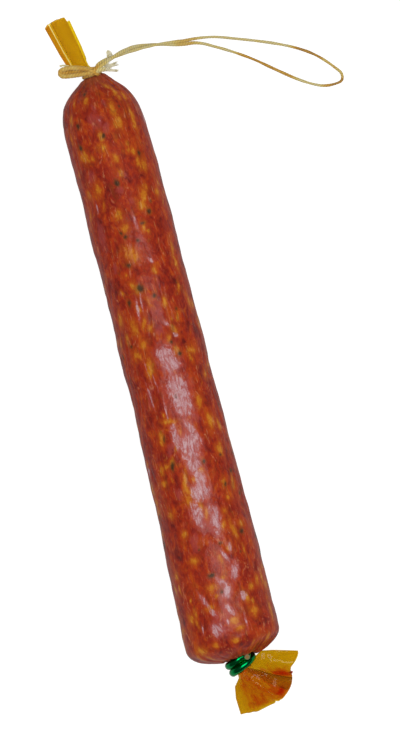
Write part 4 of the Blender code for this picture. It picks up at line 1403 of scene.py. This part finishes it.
@dataclass
class TwineTie:
    """The twine round the tied neck: its turns, the hitch across them and its cut ends."""

    neck_height: float
    centre: tuple[float, float] = (-3.1 * MM, 152.5 * MM)
    neck: float = 3.1 * MM
    twine: float = 1.9 * MM
    turns: float = 1.6
    lean: float = math.radians(-6)
    routes = (
        (((0.2, 153.4, 5.8), (-4.6, 154.6, 5.6), (-8.6, 156.2, 5.0), (-13.2, 157.4, 4.3), (-17.0, 157.5, 3.8),
          (-18.5, 156.2, 3.5), (-17.8, 154.5, 3.3), (-14.4, 153.6, 3.8), (-9.0, 152.9, 4.8), (-4.6, 152.4, 5.8),
          (-0.6, 152.0, 6.2)), 2.5, 0.35),
        (((-6.0, 153.9, 3.8), (-10.0, 154.9, 3.2), (-14.0, 155.5, 2.7), (-18.0, 155.9, 2.5)), 2.6, 0.5),
        (((-13.2, 158.4, 4.4), (-15.4, 159.4, 4.1), (-17.8, 159.7, 3.8)), 0.9, -0.3),
        (((-6.2, 155.2, 3.0), (-4.4, 154.4, 5.8), (-2.6, 152.8, 7.0), (-0.6, 151.2, 6.0), (0.6, 150.4, 3.4)), 2.0, 0.45),
        (((-4.4, 151.2, 2.8), (-3.6, 151.4, 5.4), (-1.6, 152.6, 6.9), (0.8, 154.4, 5.8), (1.8, 155.4, 3.6)), 2.0, 0.35),
        (((-1.0, 152.2, 6.2), (1.6, 152.6, 5.8), (4.2, 152.6, 5.0)), 2.6, -0.25),
    )

    def lifted_route(self, route: tuple[tuple[float, float, float], ...], count: int) -> Array:
        """A route given in millimetres above the neck's height, as smooth points in metres."""
        return smooth_route(np.array(route) * MM + self.neck_height * UP, count)

    def strands(self) -> list[tuple[Array, Array, float, float]]:
        """Every length of yarn in the tie.

        Returns:
            (path, reference, thickness, stain) for each.
        """
        axis = np.array([math.sin(self.lean), math.cos(self.lean), 0.0])
        across = np.array([math.cos(self.lean), -math.sin(self.lean), 0.0])
        radius = self.neck + 0.3 * MM + self.twine / 2
        angles = np.linspace(0, TURN * self.turns, 180)
        centre = np.array([*self.centre, self.neck_height])
        ring = helix(centre, axis, across, radius, self.twine + 0.1 * MM, angles)
        laid = [(ring, axis, self.twine, 0.55)]
        for route, thick, stain in self.routes:
            laid.append((self.lifted_route(route, 90), UP, thick * MM, stain))
        loop = HangingLoop().path()
        knot = np.array([-1.6, 152.6, 5.6]) * MM + self.neck_height * UP
        for start, onward in ((loop[0], loop[1]), (loop[-1], loop[-2])):
            run_in = np.array([knot, 0.5 * (knot + start) + 0.5 * MM * UP, start, start + 0.6 * (onward - start)])
            laid.append((smooth_route(run_in, 50), UP, 1.95 * MM, 0.05))
        return laid

    def frays(self) -> Skin:
        """The untwisted fibres at the cut ends and the small tuft on the stem."""
        rng = np.random.default_rng(21)
        root = np.array([3.4, 152.6, 4.8]) * MM + self.neck_height * UP
        groups = []
        for tip, count, curl in (
            ((11.6, 154.9, 3.8), 26, 0.03), ((11.9, 153.6, 3.4), 18, 0.03), ((11.0, 150.0, 2.8), 30, 0.03),
            ((8.2, 152.4, 4.2), 16, 0.08), ((8.0, 156.2, 4.4), 8, 0.1),
        ):
            starts = root + rng.normal(size=(count, 3)) * 0.5 * MM
            ways = np.array(tip) * MM + self.neck_height * UP - starts + 0.25 * MM * rng.normal(size=(count, 3))
            lengths = np.linalg.norm(ways, axis=1) * rng.uniform(0.8, 1.03, count)
            groups.append(fibre_paths(starts, unit(ways), lengths, curl, rng))
        arch = np.array([(6.6, 158.0, 23.4), (7.0, 160.4, 23.8), (8.0, 161.8, 23.8), (9.2, 160.8, 23.2), (9.8, 158.8, 22.4)])
        foot = np.array([8.2, 158.2, 23.0]) * MM
        span = rng.uniform(0.25, 1.0, (34, 1, 1))
        tuft = foot + (smooth_route(arch * MM, 9)[None] - foot) * span
        groups.append(tuft + 0.12 * MM * rng.normal(size=tuft.shape))
        stem = smooth_route(np.array(HangingLoop.stem_route) * MM, 60)
        roots = stem[rng.integers(6, 24, 50)] + 0.5 * MM * rng.normal(size=(50, 3)) + 0.6 * MM * UP
        ways = unit(np.array([0.5, 0.8, 0.2]) + 0.6 * rng.normal(size=(50, 3)))
        groups.append(fibre_paths(roots, ways, rng.uniform(0.6, 1.3, 50) * MM, 0.3, rng))
        return fibre_skin(np.concatenate(groups), 0.3 * MM)

    def build(self) -> list[bpy.types.Object]:
        """Builds the tie's yarns and its frayed fibres, and dresses them.

        Returns:
            The two pieces; the yarns stand for the CAD tie.
        """
        skins, crowns, stains = [], [], []
        for path, reference, thick, stain in self.strands():
            grid, crown = Yarn(thick, 4.8 * MM).grid(path, reference)
            skins.append(tube_skin(grid[None], path[None, [0, -1]], math.pi * thick))
            crowns.append(np.concatenate([crown.ravel(), [0, 0]]))
            stains.append(np.full(crown.size + 2, stain))
        mesh = merged(skins).mesh("tie_yarn")
        give_values(mesh, "ply", np.concatenate(crowns))
        give_values(mesh, "stain", np.concatenate(stains))
        tie = add_piece("tie_yarn", mesh, TwineFinish("spun_twine_tie", groove_shade=0.72).material(), ("twine_tie",))
        frays = self.frays()
        mesh = frays.mesh("tie_frays")
        give_values(mesh, "ply", np.ones(len(frays.points)))
        give_values(mesh, "stain", np.full(len(frays.points), -0.7))
        return [tie, add_piece("tie_frays", mesh, TwineFinish("frayed_twine").material())]


def merged(skins: list[Skin]) -> Skin:
    """Several skins as one."""
    starts = np.cumsum([0] + [len(skin.points) for skin in skins[:-1]])
    return Skin(
        np.concatenate([skin.points for skin in skins]),
        np.concatenate([skin.quads + start for skin, start in zip(skins, starts)]),
        np.concatenate([skin.quad_uv for skin in skins]),
        np.concatenate([skin.triangles + start for skin, start in zip(skins, starts)]),
        np.concatenate([skin.triangle_uv for skin in skins]),
    )


# ---------------------------------------------------------------- the studio


@dataclass
class Studio:
    """A pale floor, a soft strip light above, even fill light and the camera straight overhead."""

    camera_place: tuple[float, float, float] = (13.85 * MM, -8.19 * MM, 1.322)
    camera_turn: float = math.radians(-14.04)
    lens: float = 123.67
    strip_place: tuple[float, float, float] = (0.16, -0.10, 0.97)
    strip_size: tuple[float, float] = (0.82, 0.36)
    strip_power: float = 3.8
    fill: float = 0.64
    mirrored_fill: float = 0.07
    table_glow: float = 0.86
    dimmed_glow: float = 0.1

    def camera(self) -> None:
        """Adds the camera, looking straight down, its top turned towards +Y and a little to +X."""
        data = bpy.data.cameras.new("overhead_camera")
        data.lens = self.lens
        data.sensor_width = 36.0
        data.clip_start, data.clip_end = 0.01, 20.0
        camera = bpy.data.objects.new("overhead_camera", data)
        camera.location = self.camera_place
        camera.rotation_euler = (0.0, 0.0, self.camera_turn)
        bpy.context.scene.collection.objects.link(camera)
        bpy.context.scene.camera = camera

    def floor(self) -> None:
        """Adds the floor: matt white, and lit a little from within as a light table is."""
        reach = 4.0
        points = np.array([[-reach, -reach, 0], [reach, -reach, 0], [reach, reach, 0], [-reach, reach, 0]])
        points[:, 2] -= 0.02 * MM
        mesh = bpy.data.meshes.new("floor")
        mesh.from_pydata(points.tolist(), [], [(0, 1, 2, 3)])
        material, tree, surface = new_material("matt_white_table")
        surface.inputs["Base Color"].default_value = (0.36, 0.36, 0.36, 1.0)
        surface.inputs["Roughness"].default_value = 0.9
        surface.inputs["Specular IOR Level"].default_value = 0.0
        surface.inputs["Emission Color"].default_value = (1.0, 1.0, 1.0, 1.0)
        camera, passing = (add_node(tree, "LightPath", output=f"Is {kind} Ray") for kind in ("Camera", "Transmission"))
        seen = add_node(tree, "Math", [camera, passing], operation="MAXIMUM")
        glow = add_node(tree, "MapRange", [seen, 0.0, 1.0, self.dimmed_glow, self.table_glow])
        tree.links.new(glow, surface.inputs["Emission Strength"])
        mesh.materials.append(material)
        floor = bpy.data.objects.new("floor", mesh)
        bpy.context.scene.collection.objects.link(floor)

    def lights(self) -> None:
        """Adds the strip light over the casing, and a white surround that mirrors dimly."""
        data = bpy.data.lights.new("strip_light", "AREA")
        data.shape = "RECTANGLE"
        data.size, data.size_y = self.strip_size
        data.energy = self.strip_power
        strip = bpy.data.objects.new("strip_light", data)
        strip.location = self.strip_place
        tilt = math.atan2(self.strip_place[0], self.strip_place[2])
        strip.rotation_euler = (0.0, tilt, 0.0)
        bpy.context.scene.collection.objects.link(strip)
        world = bpy.data.worlds.new("white_surround")
        bpy.context.scene.world = world
        world.use_nodes = True
        tree = world.node_tree
        glossy, passing = (add_node(tree, "LightPath", output=f"Is {kind} Ray") for kind in ("Glossy", "Transmission"))
        mirrored = add_node(tree, "Math", [glossy, passing], operation="SUBTRACT")
        power = add_node(tree, "MapRange", [mirrored, 0.0, 1.0, self.fill, self.mirrored_fill])
        tree.links.new(power, tree.nodes["Background"].inputs["Strength"])
        tree.nodes["Background"].inputs["Color"].default_value = (1.0, 1.0, 1.0, 1.0)

    def build(self) -> None:
        """Sets the camera, the floor, the lights and how light is turned into colour."""
        self.camera()
        self.floor()
        self.lights()
        bpy.context.scene.view_settings.view_transform = "Standard"


def main() -> None:
    """Builds the studio and every piece of the sausage."""
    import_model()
    Studio().build()
    HangingLoop().build()
    meat = CasedMeat()
    tied_height = float(meat.axis_height(np.array(meat.tied_end)))
    clipped_height = float(meat.axis_height(np.array(meat.clipped_end)))
    meat.build()
    TiedTail(tied_height).build()
    ClippedTail(clipped_height).build()
    WireClip(clipped_height).build()
    TwineTie(tied_height).build()


if __name__ == "__main__":
    logging.basicConfig(level=logging.INFO, format="%(message)s")
    main()
